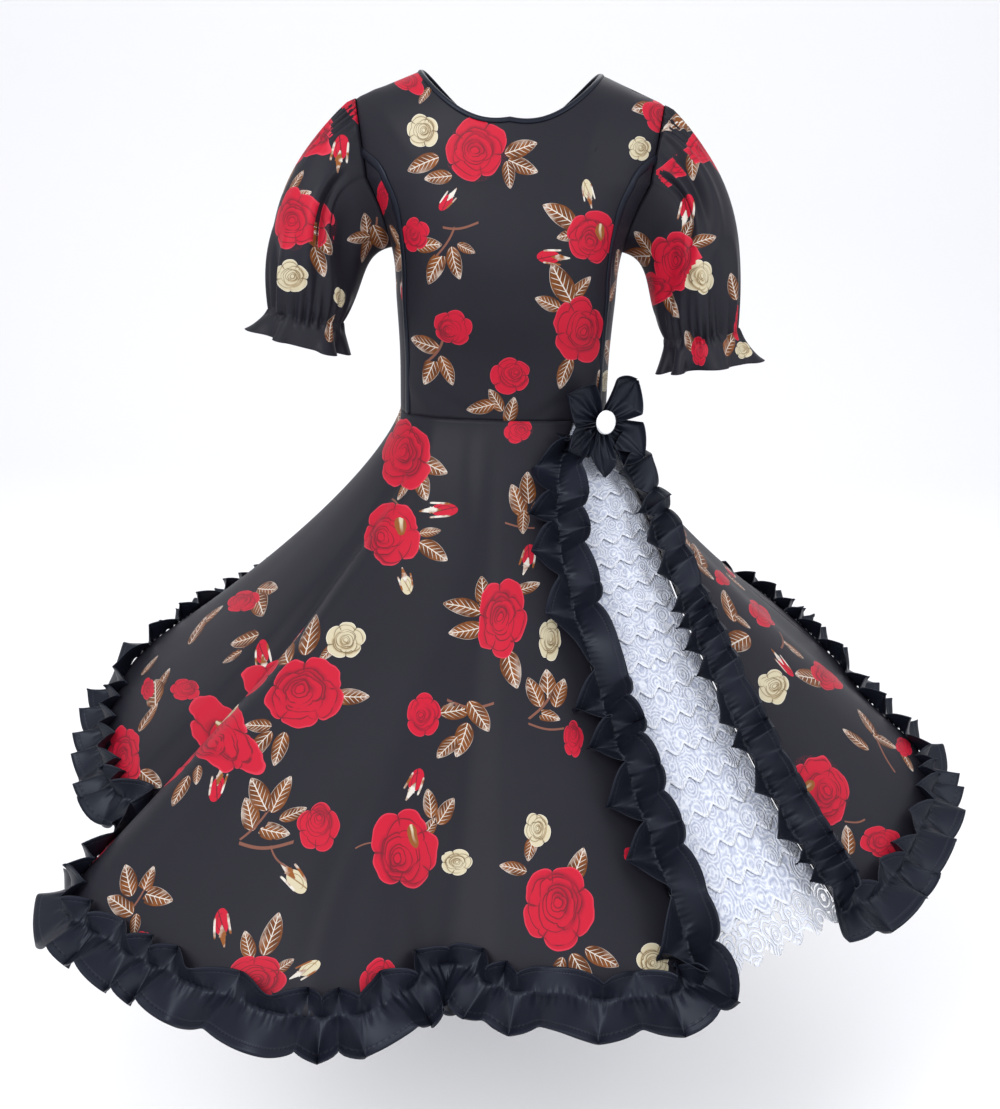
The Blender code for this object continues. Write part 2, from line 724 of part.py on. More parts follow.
def skirt_sheet(bearings):
    """Points and normals of the whole skirt, rows by columns."""
    drops = np.linspace(0.0, 1.0, SKIRT_ROWS + 1)[:, None] + 0 * bearings[None, :]
    angles = skirt_bearing(bearings[None, :] + 0 * drops, drops)
    points = skirt_point(angles, drops)
    small = 0.5
    side = skirt_point(angles + small, drops) - skirt_point(angles - small, drops)
    lower = skirt_point(angles, np.minimum(drops + 0.02, 1.0))
    upper = skirt_point(angles, np.maximum(drops - 0.02, 0.0))
    normals = unit(np.cross(side, upper - lower))
    flat = normals[0].copy()
    flat[:, 2] = 0.0
    normals[0] = unit(flat)
    return points, normals


def build_skirt(points, normals, starts, material):
    """The four flared panels."""
    all_edges = ("first_row", "last_row", "first_column", "last_column")
    for index, panel in enumerate(SKIRT_PANELS):
        span = slice(starts[index], starts[index + 1] + 1)
        moved = pull_back(points[:, span], normals[:, span], all_edges, SEAM_GAP / 2)
        wall(panel.name, moved, normals[:, span], SATIN, material)


def build_lace(points, material):
    """The lace let into the slit, in overlapping scalloped tiers."""
    drops = np.linspace(0.0, 1.0, SKIRT_ROWS + 1)[:, None]
    right, left = slit_bearings(drops)[::-1]
    shares = np.linspace(0.0, 1.0, LACE_COLUMNS + 1)[None, :]
    angles = right + (left - right) * shares
    base = skirt_point(angles, drops + 0 * angles)
    base[:, 0] = points[:, -1]
    base[:, -1] = points[:, 0]
    hollow = np.sin(np.pi * shares)[..., None] * drops[..., None] * LACE_RECESS
    base = base - grid_normals(base) * hollow * facing(base)
    rows = []
    lifts = []
    tiers = SKIRT_ROWS * TIERS_PER_ROW
    for tier in range(tiers):
        tier_end = TIER_END if tier < tiers - 1 else LAST_TIER_END
        for part, raised in ((TIER_START, 0.0), (tier_end, 1.0)):
            line = []
            lift = []
            for column in range(LACE_COLUMNS + 1):
                share = column / LACE_COLUMNS
                bump = LACE_SCALLOP * (column % 2) * (0 < share < 1)
                if tier == tiers - 1 and raised:
                    bump = LAST_SCALLOP * bump
                if tier == 0 and not raised:
                    bump = 0.0
                line.append(sample(base, (tier + part) / TIERS_PER_ROW - bump, column))
                lift.append(LACE_RELIEF * raised * math.sin(math.pi * share) ** 0.5)
            rows.append(line)
            lifts.append(lift)
    sheet = np.array(rows)
    smooth_normals = grid_normals(sheet)
    smooth_normals = smooth_normals * facing(sheet)
    sheet = sheet + smooth_normals * np.array(lifts)[..., None]
    moved = pull_back(sheet, smooth_normals, ("first_row", "first_column", "last_column"), SEAM_GAP)
    wall("lace_insert", moved, smooth_normals, LACE_CLOTH, material)


def facing(sheet):
    """+1 or -1, the sign that turns a sheet's own normals away from the dress's axis."""
    normals = grid_normals(sheet)
    flat = sheet * np.array([1.0, 1.0, 0.0])
    return 1.0 if np.sum(normals * flat) > 0 else -1.0


# Ruffles

def wave_height(phase):
    """A gathered wave, from -1 to 1, that repeats with each whole phase."""
    return math.sin(2 * math.pi * phase)


def size_change(phase):
    """Slow changes along a ruffle, so that no two waves are equally deep."""
    total = 1.0
    for row in SIZE_CHANGES:
        total += row.share * math.sin(row.rate * phase + row.start)
    return total


def hem_ruffle_row(grid, normals, wave):
    """The points across the hem ruffle at a place along the hem, from its upper edge to its lower."""
    last = grid.shape[0] - 1.0
    edge = sample(grid, last, wave)
    above = sample(grid, last - 1.0, wave)
    out = unit(sample(normals, last, wave))
    up = unit(above - edge)
    step = np.linalg.norm(above - edge)
    seat = SATIN / 2 + SEAM_GAP + RUFFLE_CLOTH / 2
    height = wave_height(wave) * size_change(wave)
    crest = 0.5 + 0.5 * wave_height(wave)
    header_lift = LEAST_LIFT + HEADER_WAVE * crest * size_change(wave)
    header = sample(grid, last - HEM_HEADER / step, wave)
    header_out = unit(sample(normals, last - HEM_HEADER / step, wave))
    middle_lift = FLANGE_MIDDLE_LIFT + height * FLANGE_WAVE * FLANGE_MIDDLE_WAVE
    return [
        header + header_out * (seat + header_lift),
        edge + out * seat,
        edge - up * HEM_FLANGE * FLANGE_MIDDLE + out * (seat + middle_lift),
        edge - up * HEM_FLANGE + out * (seat + FLANGE_LIFT + height * FLANGE_WAVE),
    ]


def build_hem_ruffles(points, normals, starts, material):
    """The hem's ruffle, in lengths that meet end to end."""
    places = np.arange(starts[-1] * WAVE_STEPS + 1) / WAVE_STEPS
    sheet = np.array([hem_ruffle_row(points, normals, place) for place in places]).transpose(1, 0, 2)
    sheet_normals = grid_normals(sheet) * facing(sheet)
    number = 1
    for index, panel in enumerate(SKIRT_PANELS):
        cuts = np.linspace(starts[index], starts[index + 1], panel.ruffle_lengths + 1).round()
        for begin, end in zip(cuts[:-1], cuts[1:]):
            span = slice(int(begin) * WAVE_STEPS, int(end) * WAVE_STEPS + 1)
            lengths = (sheet[:, span], sheet_normals[:, span])
            moved = pull_back(*lengths, ("first_column", "last_column"), SEAM_GAP / 2)
            wall("hem_ruffle_%d" % number, moved, lengths[1], RUFFLE_CLOTH, material)
            number += 1


def walk_inward(grid, row, from_last, distance):
    """A column index, possibly between columns, at a distance from the slit's edge along a row."""
    columns = grid.shape[1]
    order = range(columns - 1, -1, -1) if from_last else range(columns)
    line = [sample(grid, row, column) for column in order]
    walked = 0.0
    for index in range(1, columns):
        step = np.linalg.norm(line[index] - line[index - 1])
        if walked + step >= distance:
            place = index - 1 + (distance - walked) / step
            return columns - 1 - place if from_last else place
        walked += step
    return 0.0


def slit_ruffle_row(grid, normals, row, wave, from_last):
    """The points across a slit ruffle at one height, from over the panel to over the lace."""
    edge_column = grid.shape[1] - 1.0 if from_last else 0.0
    seat = SATIN / 2 + SEAM_GAP + RUFFLE_CLOTH / 2
    down = (row - SLIT_START) / (SLIT_FULL - SLIT_START)
    grown = min(1.0, SLIT_FIRST_SHARE + (1.0 - SLIT_FIRST_SHARE) * down)
    width = SLIT_FLANGE * grown
    crest = (0.5 + 0.5 * wave_height(wave)) * size_change(wave)
    dip = (0.5 - 0.5 * wave_height(wave)) * size_change(wave + 0.5)
    column = walk_inward(grid, row, from_last, width)
    edge = sample(grid, row, edge_column)
    out = unit(sample(normals, row, edge_column))
    panel = sample(grid, row, column)
    panel_out = unit(sample(normals, row, column))
    away = edge - panel
    away = unit(away - out * np.dot(away, out))
    lift = SLIT_LEAST_LIFT + SLIT_WAVE * grown * crest
    free = SLIT_LEAST_LIFT + SLIT_WAVE * grown * (SLIT_FREE_LIFT + dip)
    return [
        panel + panel_out * (seat + lift),
        edge + out * seat,
        edge + away * width * SLIT_MIDDLE + out * (seat + free * SLIT_MIDDLE_LIFT),
        edge + away * width + out * (seat + free),
    ]


def build_slit_ruffles(points, normals, material):
    """The ruffles down both edges of the slit, each in an upper and a lower length."""
    header_rows = HEM_HEADER / np.linalg.norm(points[-1, 0] - points[-2, 0])
    stop = SKIRT_ROWS - header_rows - SLIT_STOP_GAP
    steps = SLIT_WAVES * WAVE_STEPS
    rows = np.linspace(SLIT_START, stop, steps + 1)
    waves = np.arange(steps + 1) / WAVE_STEPS
    for from_last, word in ((True, "right"), (False, "left")):
        sheet = np.array(
            [slit_ruffle_row(points, normals, row, wave, from_last) for row, wave in zip(rows, waves)]
        )
        sheet = sheet.transpose(1, 0, 2)
        sheet_normals = grid_normals(sheet) * facing(sheet)
        for part, span in ((1, slice(0, steps // 2 + 1)), (2, slice(steps // 2, steps + 1))):
            lengths = (sheet[:, span], sheet_normals[:, span])
            moved = pull_back(*lengths, ("first_column", "last_column"), SEAM_GAP / 2)
            wall("slit_ruffle_%s_%d" % (word, part), moved, lengths[1], RUFFLE_CLOTH, material)


# Flower

def flower_frame():
    """The flower's centre on the waist, and its outward, sideways and upward directions."""
    turn = math.radians(FLOWER_BEARING)
    tilt = math.radians(FLOWER_TILT)
    flat = np.array([math.sin(turn), -math.cos(turn), 0.0])
    out = unit(flat * math.cos(tilt) + np.array([0.0, 0.0, math.sin(tilt)]))
    side = np.array([math.cos(turn), math.sin(turn), 0.0])
    up = np.cross(side, out) * -1.0
    if up[2] < 0:
        up = -up
    return np.array([FLOWER_X, FLOWER_Y, FLOWER_Z]), out, side, up


def build_petals(material):
    """Five petals folded to points, round the button's shank."""
    centre, out, side, up = flower_frame()
    base = centre + out * FLOWER_STANDOFF
    for petal in PETALS:
        clock = math.radians(petal.clock)
        middle = side * math.sin(clock) + up * math.cos(clock)
        across = side * math.cos(clock) - up * math.sin(clock)
        slope = math.tan(math.radians(petal.lift))
        rows = []
        for t in np.linspace(0.0, 1.0, PETAL_ROWS + 1):
            reach = PETAL_HOLE + (petal.reach - PETAL_HOLE) * t
            past_widest = max(0.0, t - PETAL_WIDEST) / (1.0 - PETAL_WIDEST)
            taper = max(PETAL_TIP_SHARE, 1.0 - past_widest**1.5)
            half = math.tan(math.radians(petal.half_angle)) * reach * taper
            line = []
            for c in np.linspace(-1.0, 1.0, PETAL_COLUMNS + 1):
                cup = PETAL_CUP * math.sin(math.pi * min(t * 1.1, 1.0)) * (1.0 - abs(c)) ** 0.8
                rim = PETAL_RIM * c * c * t
                rise = slope * (reach - PETAL_HOLE) * t + cup + rim
                line.append(base + middle * reach + across * half * c + out * rise)
            rows.append(line)
        sheet = np.array(rows)
        normals = grid_normals(sheet)
        wall(petal.name, sheet, normals, SATIN, material)


def build_button(material):
    """A domed button with a shank that stands on the waist seam."""
    centre, out, side, up = flower_frame()
    top = FLOWER_STANDOFF + BUTTON_CLEARANCE
    profile = [(BUTTON_SEAT, 0.0), (BUTTON_SEAT, BUTTON_SHANK), (top, BUTTON_SHANK)]
    profile += [(top + BUTTON_HEIGHT * row.height, BUTTON_RADIUS * row.radius) for row in DOME]
    turns = BUTTON_TURNS
    vertices = []
    faces = []
    rings = []
    for height, radius in profile:
        if radius == 0.0:
            rings.append([len(vertices)] * turns)
            vertices.append(centre + out * height)
            continue
        rings.append(list(range(len(vertices), len(vertices) + turns)))
        for turn in range(turns):
            angle = 2 * math.pi * turn / turns
            ring = side * math.cos(angle) + up * math.sin(angle)
            vertices.append(centre + out * height + ring * radius)
    for lower, upper in zip(rings[:-1], rings[1:]):
        for turn in range(turns):
            after = (turn + 1) % turns
            corners = [lower[turn], lower[after], upper[after], upper[turn]]
            for triangle in ((0, 1, 2), (0, 2, 3)):
                face = tuple(corners[corner] for corner in triangle)
                if len(set(face)) == 3:
                    faces.append(face)
    add_object("flower_button", vertices, faces, material)


# Zip

def build_zip_tape(sheets, points, starts, material):
    """The zip's tape behind the centre-back seam, from the neck to below the waist."""
    left, left_normals = sheets["bodice_back_left"]
    right, right_normals = sheets["bodice_back_right"]
    inset = SATIN / 2 + TAPE_CLEARANCE + TAPE_THICKNESS / 2
    seam_column = starts[2]
    rows = []
    for row in range(TAPE_SKIRT_ROWS, 0, -1):
        middle = points[row, seam_column]
        line = []
        for side in (-1, 0, 1):
            column = points[row, seam_column - side]
            step = np.linalg.norm(column - middle)
            share = 0.0 if side == 0 else min(1.0, TAPE_HALF_WIDTH / step)
            line.append(middle + (column - middle) * share)
        rows.append(line)
    for row in range(left.shape[0]):
        middle = left[row, 0]
        line = []
        for panel in (right, None, left):
            if panel is None:
                line.append(middle)
                continue
            column = panel[row, 1]
            share = min(1.0, TAPE_HALF_WIDTH / np.linalg.norm(column - middle))
            line.append(middle + (column - middle) * share)
        rows.append(line)
    sheet = np.array(rows)
    normals = grid_normals(sheet) * facing(sheet)
    sheet = sheet - normals * inset
    wall("zip_tape", sheet, normals, TAPE_THICKNESS, material)


def block(name, centre, axes, size, material):
    """A box with its own axes, closed, with its faces pointing out."""
    corners = []
    for z in (-0.5, 0.5):
        for y in (-0.5, 0.5):
            for x in (-0.5, 0.5):
                shift = axes[0] * size[0] * x + axes[1] * size[1] * y + axes[2] * size[2] * z
                corners.append(centre + shift)
    faces = [(0, 1, 3, 2), (4, 5, 7, 6), (0, 1, 5, 4), (2, 3, 7, 6), (0, 2, 6, 4), (1, 3, 7, 5)]
    return add_object(name, corners, faces, material)


def rod(name, centre, axes, radius, length, material, sides=12):
    """A round rod along the first axis."""
    vertices = []
    for end in (-0.5, 0.5):
        for turn in range(sides):
            angle = 2 * math.pi * (turn + 0.5) / sides
            ring = axes[1] * math.cos(angle) + axes[2] * math.sin(angle)
            vertices.append(centre + axes[0] * length * end + ring * radius)
    faces = [tuple(range(sides)), tuple(range(sides, 2 * sides))]
    for turn in range(sides):
        after = (turn + 1) % sides
        faces.append((turn, after, after + sides, turn + sides))
    return add_object(name, vertices, faces, material)


def combine(target, operation, other):
    """Adds or cuts a helper shape, which stays out of the part."""
    modifier = target.modifiers.new(operation.lower(), "BOOLEAN")
    modifier.operation = operation
    modifier.object = other
    other.hide_render = True
    other.display_type = "WIRE"


def build_zip_pull(material):
    """The slider on the centre-back seam, and its tab, which swings on the slider's pin."""
    seat = bodice_point(1, np.array(0.0), np.array(SLIDER_LEVEL))
    out = bodice_normal(1, np.array(0.0), np.array(SLIDER_LEVEL))
    across = np.array([1.0, 0.0, 0.0])
    up = unit(np.cross(out, across))
    if up[2] < 0:
        up = -up
    axes = (across, up, out)
    face = SATIN / 2 + SEAM_GAP
    body_centre = seat + out * (face + SLIDER_THICKNESS / 2)
    slider_size = (SLIDER_WIDTH, SLIDER_LENGTH, SLIDER_THICKNESS)
    slider = block("zip_slider", body_centre, axes, slider_size, material)
    lug_base = face + SLIDER_THICKNESS
    pin_height = lug_base + EYE_RADIUS + SEAM_GAP
    pin_foot = seat + up * SLIDER_LENGTH * PIN_PLACE
    pin_centre = pin_foot + out * pin_height
    gap_half = TAB_WIDTH / 2 + SEAM_GAP
    for hand in (-1, 1):
        rise = lug_base + LUG_HEIGHT / 2 - LUG_ROOT
        centre = pin_foot + out * rise + across * hand * (gap_half + LUG_WIDTH / 2)
        lug = block("slider_lug", centre, axes, (LUG_WIDTH, LUG_LENGTH, LUG_HEIGHT), material)
        combine(slider, "UNION", lug)
    pin = rod("slider_pin", pin_centre, axes, PIN_RADIUS, 2 * gap_half + LUG_WIDTH, material, 8)
    combine(slider, "UNION", pin)

    tab_start = pin_centre - up * EYE_RADIUS * TAB_START
    tab_centre = tab_start - up * TAB_LENGTH / 2
    tab = block("zip_pull", tab_centre, axes, (TAB_WIDTH, TAB_LENGTH, TAB_THICKNESS), material)
    eye = rod("pull_eye", pin_centre, axes, EYE_RADIUS, TAB_WIDTH * EYE_WIDTH_SHARE, material, 16)
    bore = rod("pull_bore", pin_centre, axes, EYE_BORE, TAB_WIDTH * BORE_WIDTH_SHARE, material, 16)
    combine(tab, "UNION", eye)
    combine(tab, "DIFFERENCE", bore)


def build():
    """The whole dress."""
    for piece in list(bpy.data.objects):
        bpy.data.objects.remove(piece, do_unlink=True)
    satin = make_material("printed_satin", (0.018, 0.017, 0.022), 0.35)
    plain = make_material("plain_satin", (0.016, 0.015, 0.020), 0.30)
    lace = make_material("white_lace", (0.86, 0.90, 0.97), 0.75)
    pearl = make_material("white_button", (0.90, 0.92, 0.96), 0.25)
    tape = make_material("zip_tape_cloth", (0.015, 0.015, 0.017), 0.80)
    metal = make_material("black_metal", (0.03, 0.03, 0.03), 0.35, 0.8)

    sheets = build_bodice(satin)
    build_bands(sheets, plain)
    build_neck_binding(sheets, plain)
    build_sleeves(sheets, satin)
    bearings, starts = hem_columns()
    points, normals = skirt_sheet(bearings)
    build_skirt(points, normals, starts, satin)
    build_lace(points, lace)
    build_hem_ruffles(points, normals, starts, plain)
    build_slit_ruffles(points, normals, plain)
    build_petals(plain)
    build_button(pearl)
    build_zip_tape(sheets, points, starts, tape)
    build_zip_pull(metal)


build()
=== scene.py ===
import math
from collections import namedtuple

import bpy
import numpy as np
from mathutils import Matrix


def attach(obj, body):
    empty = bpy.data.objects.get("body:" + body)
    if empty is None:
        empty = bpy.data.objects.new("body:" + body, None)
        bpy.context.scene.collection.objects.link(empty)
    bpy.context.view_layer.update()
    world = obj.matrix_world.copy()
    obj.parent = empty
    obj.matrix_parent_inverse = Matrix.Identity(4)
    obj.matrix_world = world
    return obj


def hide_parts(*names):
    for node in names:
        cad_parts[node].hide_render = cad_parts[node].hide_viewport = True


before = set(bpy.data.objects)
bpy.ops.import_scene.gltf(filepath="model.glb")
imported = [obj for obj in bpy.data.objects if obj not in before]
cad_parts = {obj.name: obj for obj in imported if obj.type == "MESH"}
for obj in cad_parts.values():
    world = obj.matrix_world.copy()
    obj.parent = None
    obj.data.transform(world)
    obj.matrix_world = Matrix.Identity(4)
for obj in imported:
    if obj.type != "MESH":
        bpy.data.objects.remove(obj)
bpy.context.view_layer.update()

# The same sizes as the solids, in metres
CLOTH = 0.0009
RUFFLE_CLOTH = 0.0008
LACE_CLOTH = 0.0007
SEAM_GAP = 0.0003
WAIST = -0.410
WAIST_SIDE_DIP = 0.008
ROUNDNESS = 2.3
CHEST = -0.120
SHOULDER_SLOPE = -0.40
NECK_HALF_WIDTH = 0.113
RIDGE_HALF_WIDTH = 0.194
FRONT_SWELL = 0.25
BACK_SWELL = 0.30
NECK_SHARE = 0.415
FRONT_NECK_LEVEL = 1.275
BACK_NECK_LEVEL = 1.196
UNDERARM_LEVEL = 0.70
PRINCESS_TOP_LEVEL = 1.20

BodiceRow = namedtuple("BodiceRow", "height half_width front_depth back_depth")
BODICE = (
    BodiceRow(-0.410, 0.140, 0.098, 0.078),
    BodiceRow(-0.330, 0.140, 0.104, 0.083),
    BodiceRow(-0.270, 0.143, 0.117, 0.092),
    BodiceRow(-0.210, 0.147, 0.124, 0.100),
    BodiceRow(-0.160, 0.163, 0.117, 0.103),
    BodiceRow(-0.120, 0.185, 0.106, 0.100),
)
SeamRow = namedtuple("SeamRow", "level bearing")
PRINCESS_SEAM = (
    SeamRow(0.0, 63.0),
    SeamRow(0.4, 62.0),
    SeamRow(0.62, 60.0),
    SeamRow(0.83, 54.0),
    SeamRow(0.96, 51.0),
    SeamRow(1.1, 57.0),
    SeamRow(1.2, 72.0),
)
FRONT_ARMHOLE = (
    SeamRow(0.70, 90.0),
    SeamRow(0.78, 80.0),
    SeamRow(0.86, 75.5),
    SeamRow(1.0, 70.5),
    SeamRow(1.1, 70.5),
    SeamRow(1.2, 72.0),
    SeamRow(1.4, 74.4),
    SeamRow(1.6, 76.5),
    SeamRow(2.0, 78.4),
)
BACK_ARMHOLE = (
    SeamRow(0.70, 90.0),
    SeamRow(0.78, 81.0),
    SeamRow(0.86, 76.0),
    SeamRow(1.0, 71.0),
    SeamRow(1.2, 69.5),
    SeamRow(1.4, 71.0),
    SeamRow(1.6, 74.0),
    SeamRow(2.0, 78.4),
)

# Skirt: bearings run from the front over the wearer's left, from one edge of the slit to the other
FLARE_POWER = 1.36
FOLD_POWER = 1.7
HemRow = namedtuple("HemRow", "bearing radius calm_radius height")
HEM = (
    HemRow(39.0, 0.627, 0.625, -0.860),
    HemRow(45.0, 0.634, 0.620, -0.860),
    HemRow(56.0, 0.630, 0.612, -0.858),
    HemRow(67.0, 0.628, 0.600, -0.855),
    HemRow(74.0, 0.612, 0.590, -0.852),
    HemRow(84.0, 0.560, 0.570, -0.845),
    HemRow(96.0, 0.532, 0.540, -0.830),
    HemRow(110.0, 0.513, 0.515, -0.812),
    HemRow(125.0, 0.520, 0.500, -0.810),
    HemRow(141.0, 0.478, 0.495, -0.810),
    HemRow(156.0, 0.512, 0.495, -0.810),
    HemRow(172.0, 0.480, 0.495, -0.810),
    HemRow(190.0, 0.514, 0.495, -0.810),
    HemRow(207.0, 0.474, 0.495, -0.810),
    HemRow(224.0, 0.508, 0.495, -0.808),
    HemRow(242.0, 0.478, 0.495, -0.802),
    HemRow(260.0, 0.493, 0.500, -0.792),
    HemRow(270.0, 0.540, 0.520, -0.815),
    HemRow(280.0, 0.562, 0.540, -0.838),
    HemRow(292.0, 0.570, 0.565, -0.850),
    HemRow(302.0, 0.572, 0.590, -0.852),
    HemRow(309.5, 0.562, 0.615, -0.854),
    HemRow(313.0, 0.640, 0.625, -0.857),
    HemRow(316.5, 0.690, 0.632, -0.860),
    HemRow(322.0, 0.692, 0.640, -0.860),
    HemRow(331.0, 0.686, 0.645, -0.860),
    HemRow(338.0, 0.684, 0.645, -0.860),
    HemRow(344.0, 0.680, 0.642, -0.860),
    HemRow(350.0, 0.652, 0.640, -0.860),
    HemRow(355.0, 0.588, 0.638, -0.854),
    HemRow(361.0, 0.612, 0.636, -0.860),
    HemRow(367.0, 0.624, 0.634, -0.860),
    HemRow(374.0, 0.640, 0.632, -0.860),
    HemRow(380.0, 0.638, 0.630, -0.860),
    HemRow(399.0, 0.627, 0.625, -0.860),
)
SlitRow = namedtuple("SlitRow", "drop left_bearing right_bearing")
SLIT = (
    SlitRow(0.0, 79.0, 50.0),
    SlitRow(0.12, 75.0, 33.0),
    SlitRow(0.20, 70.0, 25.5),
    SlitRow(0.32, 60.0, 21.0),
    SlitRow(0.50, 49.0, 19.8),
    SlitRow(0.70, 42.5, 20.0),
    SlitRow(0.85, 40.0, 20.0),
    SlitRow(1.0, 39.0, 20.0),
)
SLIT_PULL_SPAN = 115.0
PanelRow = namedtuple("PanelRow", "name start end flat_width flat_length flat_area")
SKIRT_PANELS = (
    PanelRow("skirt_front_left", 39.0, 98.0, 0.66, 0.66, 0.25),
    PanelRow("skirt_back_left", 98.0, 180.0, 0.80, 0.60, 0.26),
    PanelRow("skirt_back_right", 180.0, 262.0, 0.80, 0.60, 0.26),
    PanelRow("skirt_front_right", 262.0, 380.0, 1.50, 0.68, 0.54),
)

# Sleeves
SleeveRow = namedtuple("SleeveRow", "name side pinch_x pinch_y pinch_z frill flare lift_bearing lift")
SLEEVES = (
    SleeveRow("sleeve_right", -1, 0.259, -0.030, -0.292, 0.042, 0.010, 45.0, 0.010),
    SleeveRow("sleeve_left", 1, 0.256, -0.030, -0.304, 0.052, 0.008, 120.0, 0.012),
)
PINCH_ACROSS = 0.045
PINCH_DEEP = 0.056
ARM_OUTWARD = 0.20
ARM_FORWARD = 0.10
PUFF_BULGE = 0.028
PUFF_REACH = 0.40

# The photograph's camera: its size in pixels, focal length in pixels, place and turns in degrees
PHOTO_WIDTH = 1000
PHOTO_HEIGHT = 1109
FOCAL = 1100.0
CAMERA_Y = -1.47
CAMERA_Z = -0.01
PITCH = 23.2
ROLL = 1.3


def row_values(table, column):
    """One named column of a table."""
    return np.array([getattr(row, column) for row in table], float)


def smooth(table, key, column, value):
    """A smooth curve through a table's points, read at an array of values."""
    places = row_values(table, key)
    heights = row_values(table, column)
    slopes = np.gradient(heights, places)
    spot = np.clip(np.searchsorted(places, value, side="right") - 1, 0, len(places) - 2)
    step = places[spot + 1] - places[spot]
    t = np.clip((value - places[spot]) / step, 0.0, 1.0)
    start = heights[spot] * (1 + 2 * t) * (1 - t) ** 2
    end = heights[spot + 1] * t * t * (3 - 2 * t)
    bend = step * (slopes[spot] * t * (1 - t) ** 2 - slopes[spot + 1] * t * t * (1 - t))
    return start + end + bend


def unit(vectors):
    """Vectors scaled to length 1."""
    vectors = np.asarray(vectors, float)
    return vectors / np.maximum(np.linalg.norm(vectors, axis=-1, keepdims=True), 1e-12)


def dot(a, b):
    """The dot product along the last axis, kept as an axis."""
    return np.sum(a * b, axis=-1, keepdims=True)


def grid_normals(points, closed=False):
    """Unit normals of a sheet of points, rows by columns."""
    down = np.gradient(points, axis=0)
    if closed:
        along = np.roll(points, -1, axis=1) - np.roll(points, 1, axis=1)
    else:
        along = np.gradient(points, axis=1)
    return unit(np.cross(along, down))


def outward(points, closed=False):
    """Normals of a sheet that point away from the dress's axis."""
    normals = grid_normals(points, closed)
    flat = points * np.array([1.0, 1.0, 0.0])
    return normals if np.sum(normals * flat) > 0 else -normals


def lengths_along(points, axis):
    """How far each point of a sheet lies along its rows or columns, in metres."""
    steps = np.linalg.norm(np.diff(points, axis=axis), axis=-1)
    zero = np.zeros_like(np.take(steps, [0], axis=axis))
    return np.concatenate([zero, np.cumsum(steps, axis=axis)], axis=axis)


def shell(name, points, normals, thickness, materials, closed=False, cloth=None):
    """A thin wall round a sheet: an outer face, an inner face and a rim, with smooth shading."""
    rows, columns = points.shape[:2]
    count = rows * columns
    shift = normals * thickness / 2
    vertices = np.concatenate([(points + shift).reshape(-1, 3), (points - shift).reshape(-1, 3)])
    index = np.arange(count).reshape(rows, columns)
    after = np.roll(index, -1, axis=1)
    here = index[:-1] if closed else index[:-1, :-1]
    right = after[:-1] if closed else after[:-1, :-1]
    below = index[1:] if closed else index[1:, :-1]
    across = after[1:] if closed else after[1:, :-1]
    outer = np.stack([here, right, across, below], axis=-1).reshape(-1, 4)
    middle = len(outer) // 2
    a, b, c = (vertices[outer[middle, corner]] for corner in (0, 1, 2))
    facing_out = np.dot(np.cross(b - a, c - b), normals.reshape(-1, 3)[outer[middle, 0]]) > 0
    if not facing_out:
        outer = outer[:, ::-1]
    faces = [outer, outer[:, ::-1] + count]
    edges = [(index[0], after[0]), (after[-1], index[-1])]
    rims = []
    for start, end in edges:
        if not closed:
            start, end = start[:-1], end[:-1]
        rims.append(np.stack([start, end, end + count, start + count], axis=-1))
    if not closed:
        for line in (index[::-1, 0], index[:, -1]):
            rims.append(np.stack([line[:-1], line[1:], line[1:] + count, line[:-1] + count], axis=-1))
    rim = np.concatenate(rims)
    if facing_out:
        rim = rim[:, ::-1]
    faces.append(rim)
    mesh = bpy.data.meshes.new(name)
    mesh.from_pydata(vertices.tolist(), [], np.concatenate(faces).tolist())
    mesh.polygons.foreach_set("use_smooth", np.ones(len(mesh.polygons), bool))
    slots = np.zeros(len(mesh.polygons), np.int32)
    slots[len(outer):2 * len(outer)] = len(materials) - 1
    mesh.polygons.foreach_set("material_index", slots)
    for material in materials:
        mesh.materials.append(material)
    if cloth is None:
        cloth = np.stack([lengths_along(points, 1), lengths_along(points, 0), 0 * points[..., 0]], axis=-1)
    both = np.concatenate([cloth.reshape(-1, 3), cloth.reshape(-1, 3)])
    attribute = mesh.attributes.new("cloth", "FLOAT_VECTOR", "POINT")
    attribute.data.foreach_set("vector", both.astype(np.float32).ravel())
    rim_edges = mesh.attributes.new("outer_faces", "INT", "FACE")
    marks = np.zeros(len(mesh.polygons), np.int32)
    marks[:len(outer)] = 1
    rim_edges.data.foreach_set("value", marks)
    piece = bpy.data.objects.new(name, mesh)
    bpy.context.scene.collection.objects.link(piece)
    return piece


# Camera and projection

def project(points):
    """Where points fall in the photograph, in its pixels."""
    relative = points - np.array([0.0, CAMERA_Y, CAMERA_Z])
    pitch = math.radians(PITCH)
    roll = math.radians(ROLL)
    depth = relative[..., 1] * math.cos(pitch) - relative[..., 2] * math.sin(pitch)
    rise = relative[..., 1] * math.sin(pitch) + relative[..., 2] * math.cos(pitch)
    u = FOCAL * relative[..., 0] / depth
    v = -FOCAL * rise / depth
    x = PHOTO_WIDTH / 2 + u * math.cos(roll) - v * math.sin(roll)
    y = PHOTO_HEIGHT / 2 + u * math.sin(roll) + v * math.cos(roll)
    return np.stack([x, y], axis=-1)


def add_camera():
    """The camera at the photograph's place and angle."""
    data = bpy.data.cameras.new("camera")
    data.sensor_width = 36.0
    data.lens = FOCAL * data.sensor_width / PHOTO_HEIGHT
    camera = bpy.data.objects.new("camera", data)
    bpy.context.scene.collection.objects.link(camera)
    place = Matrix.Translation((0.0, CAMERA_Y, CAMERA_Z))
    tilt = Matrix.Rotation(math.radians(90.0 - PITCH), 4, "X")
    camera.matrix_world = place @ tilt @ Matrix.Rotation(math.radians(ROLL), 4, "Z")
    bpy.context.scene.camera = camera


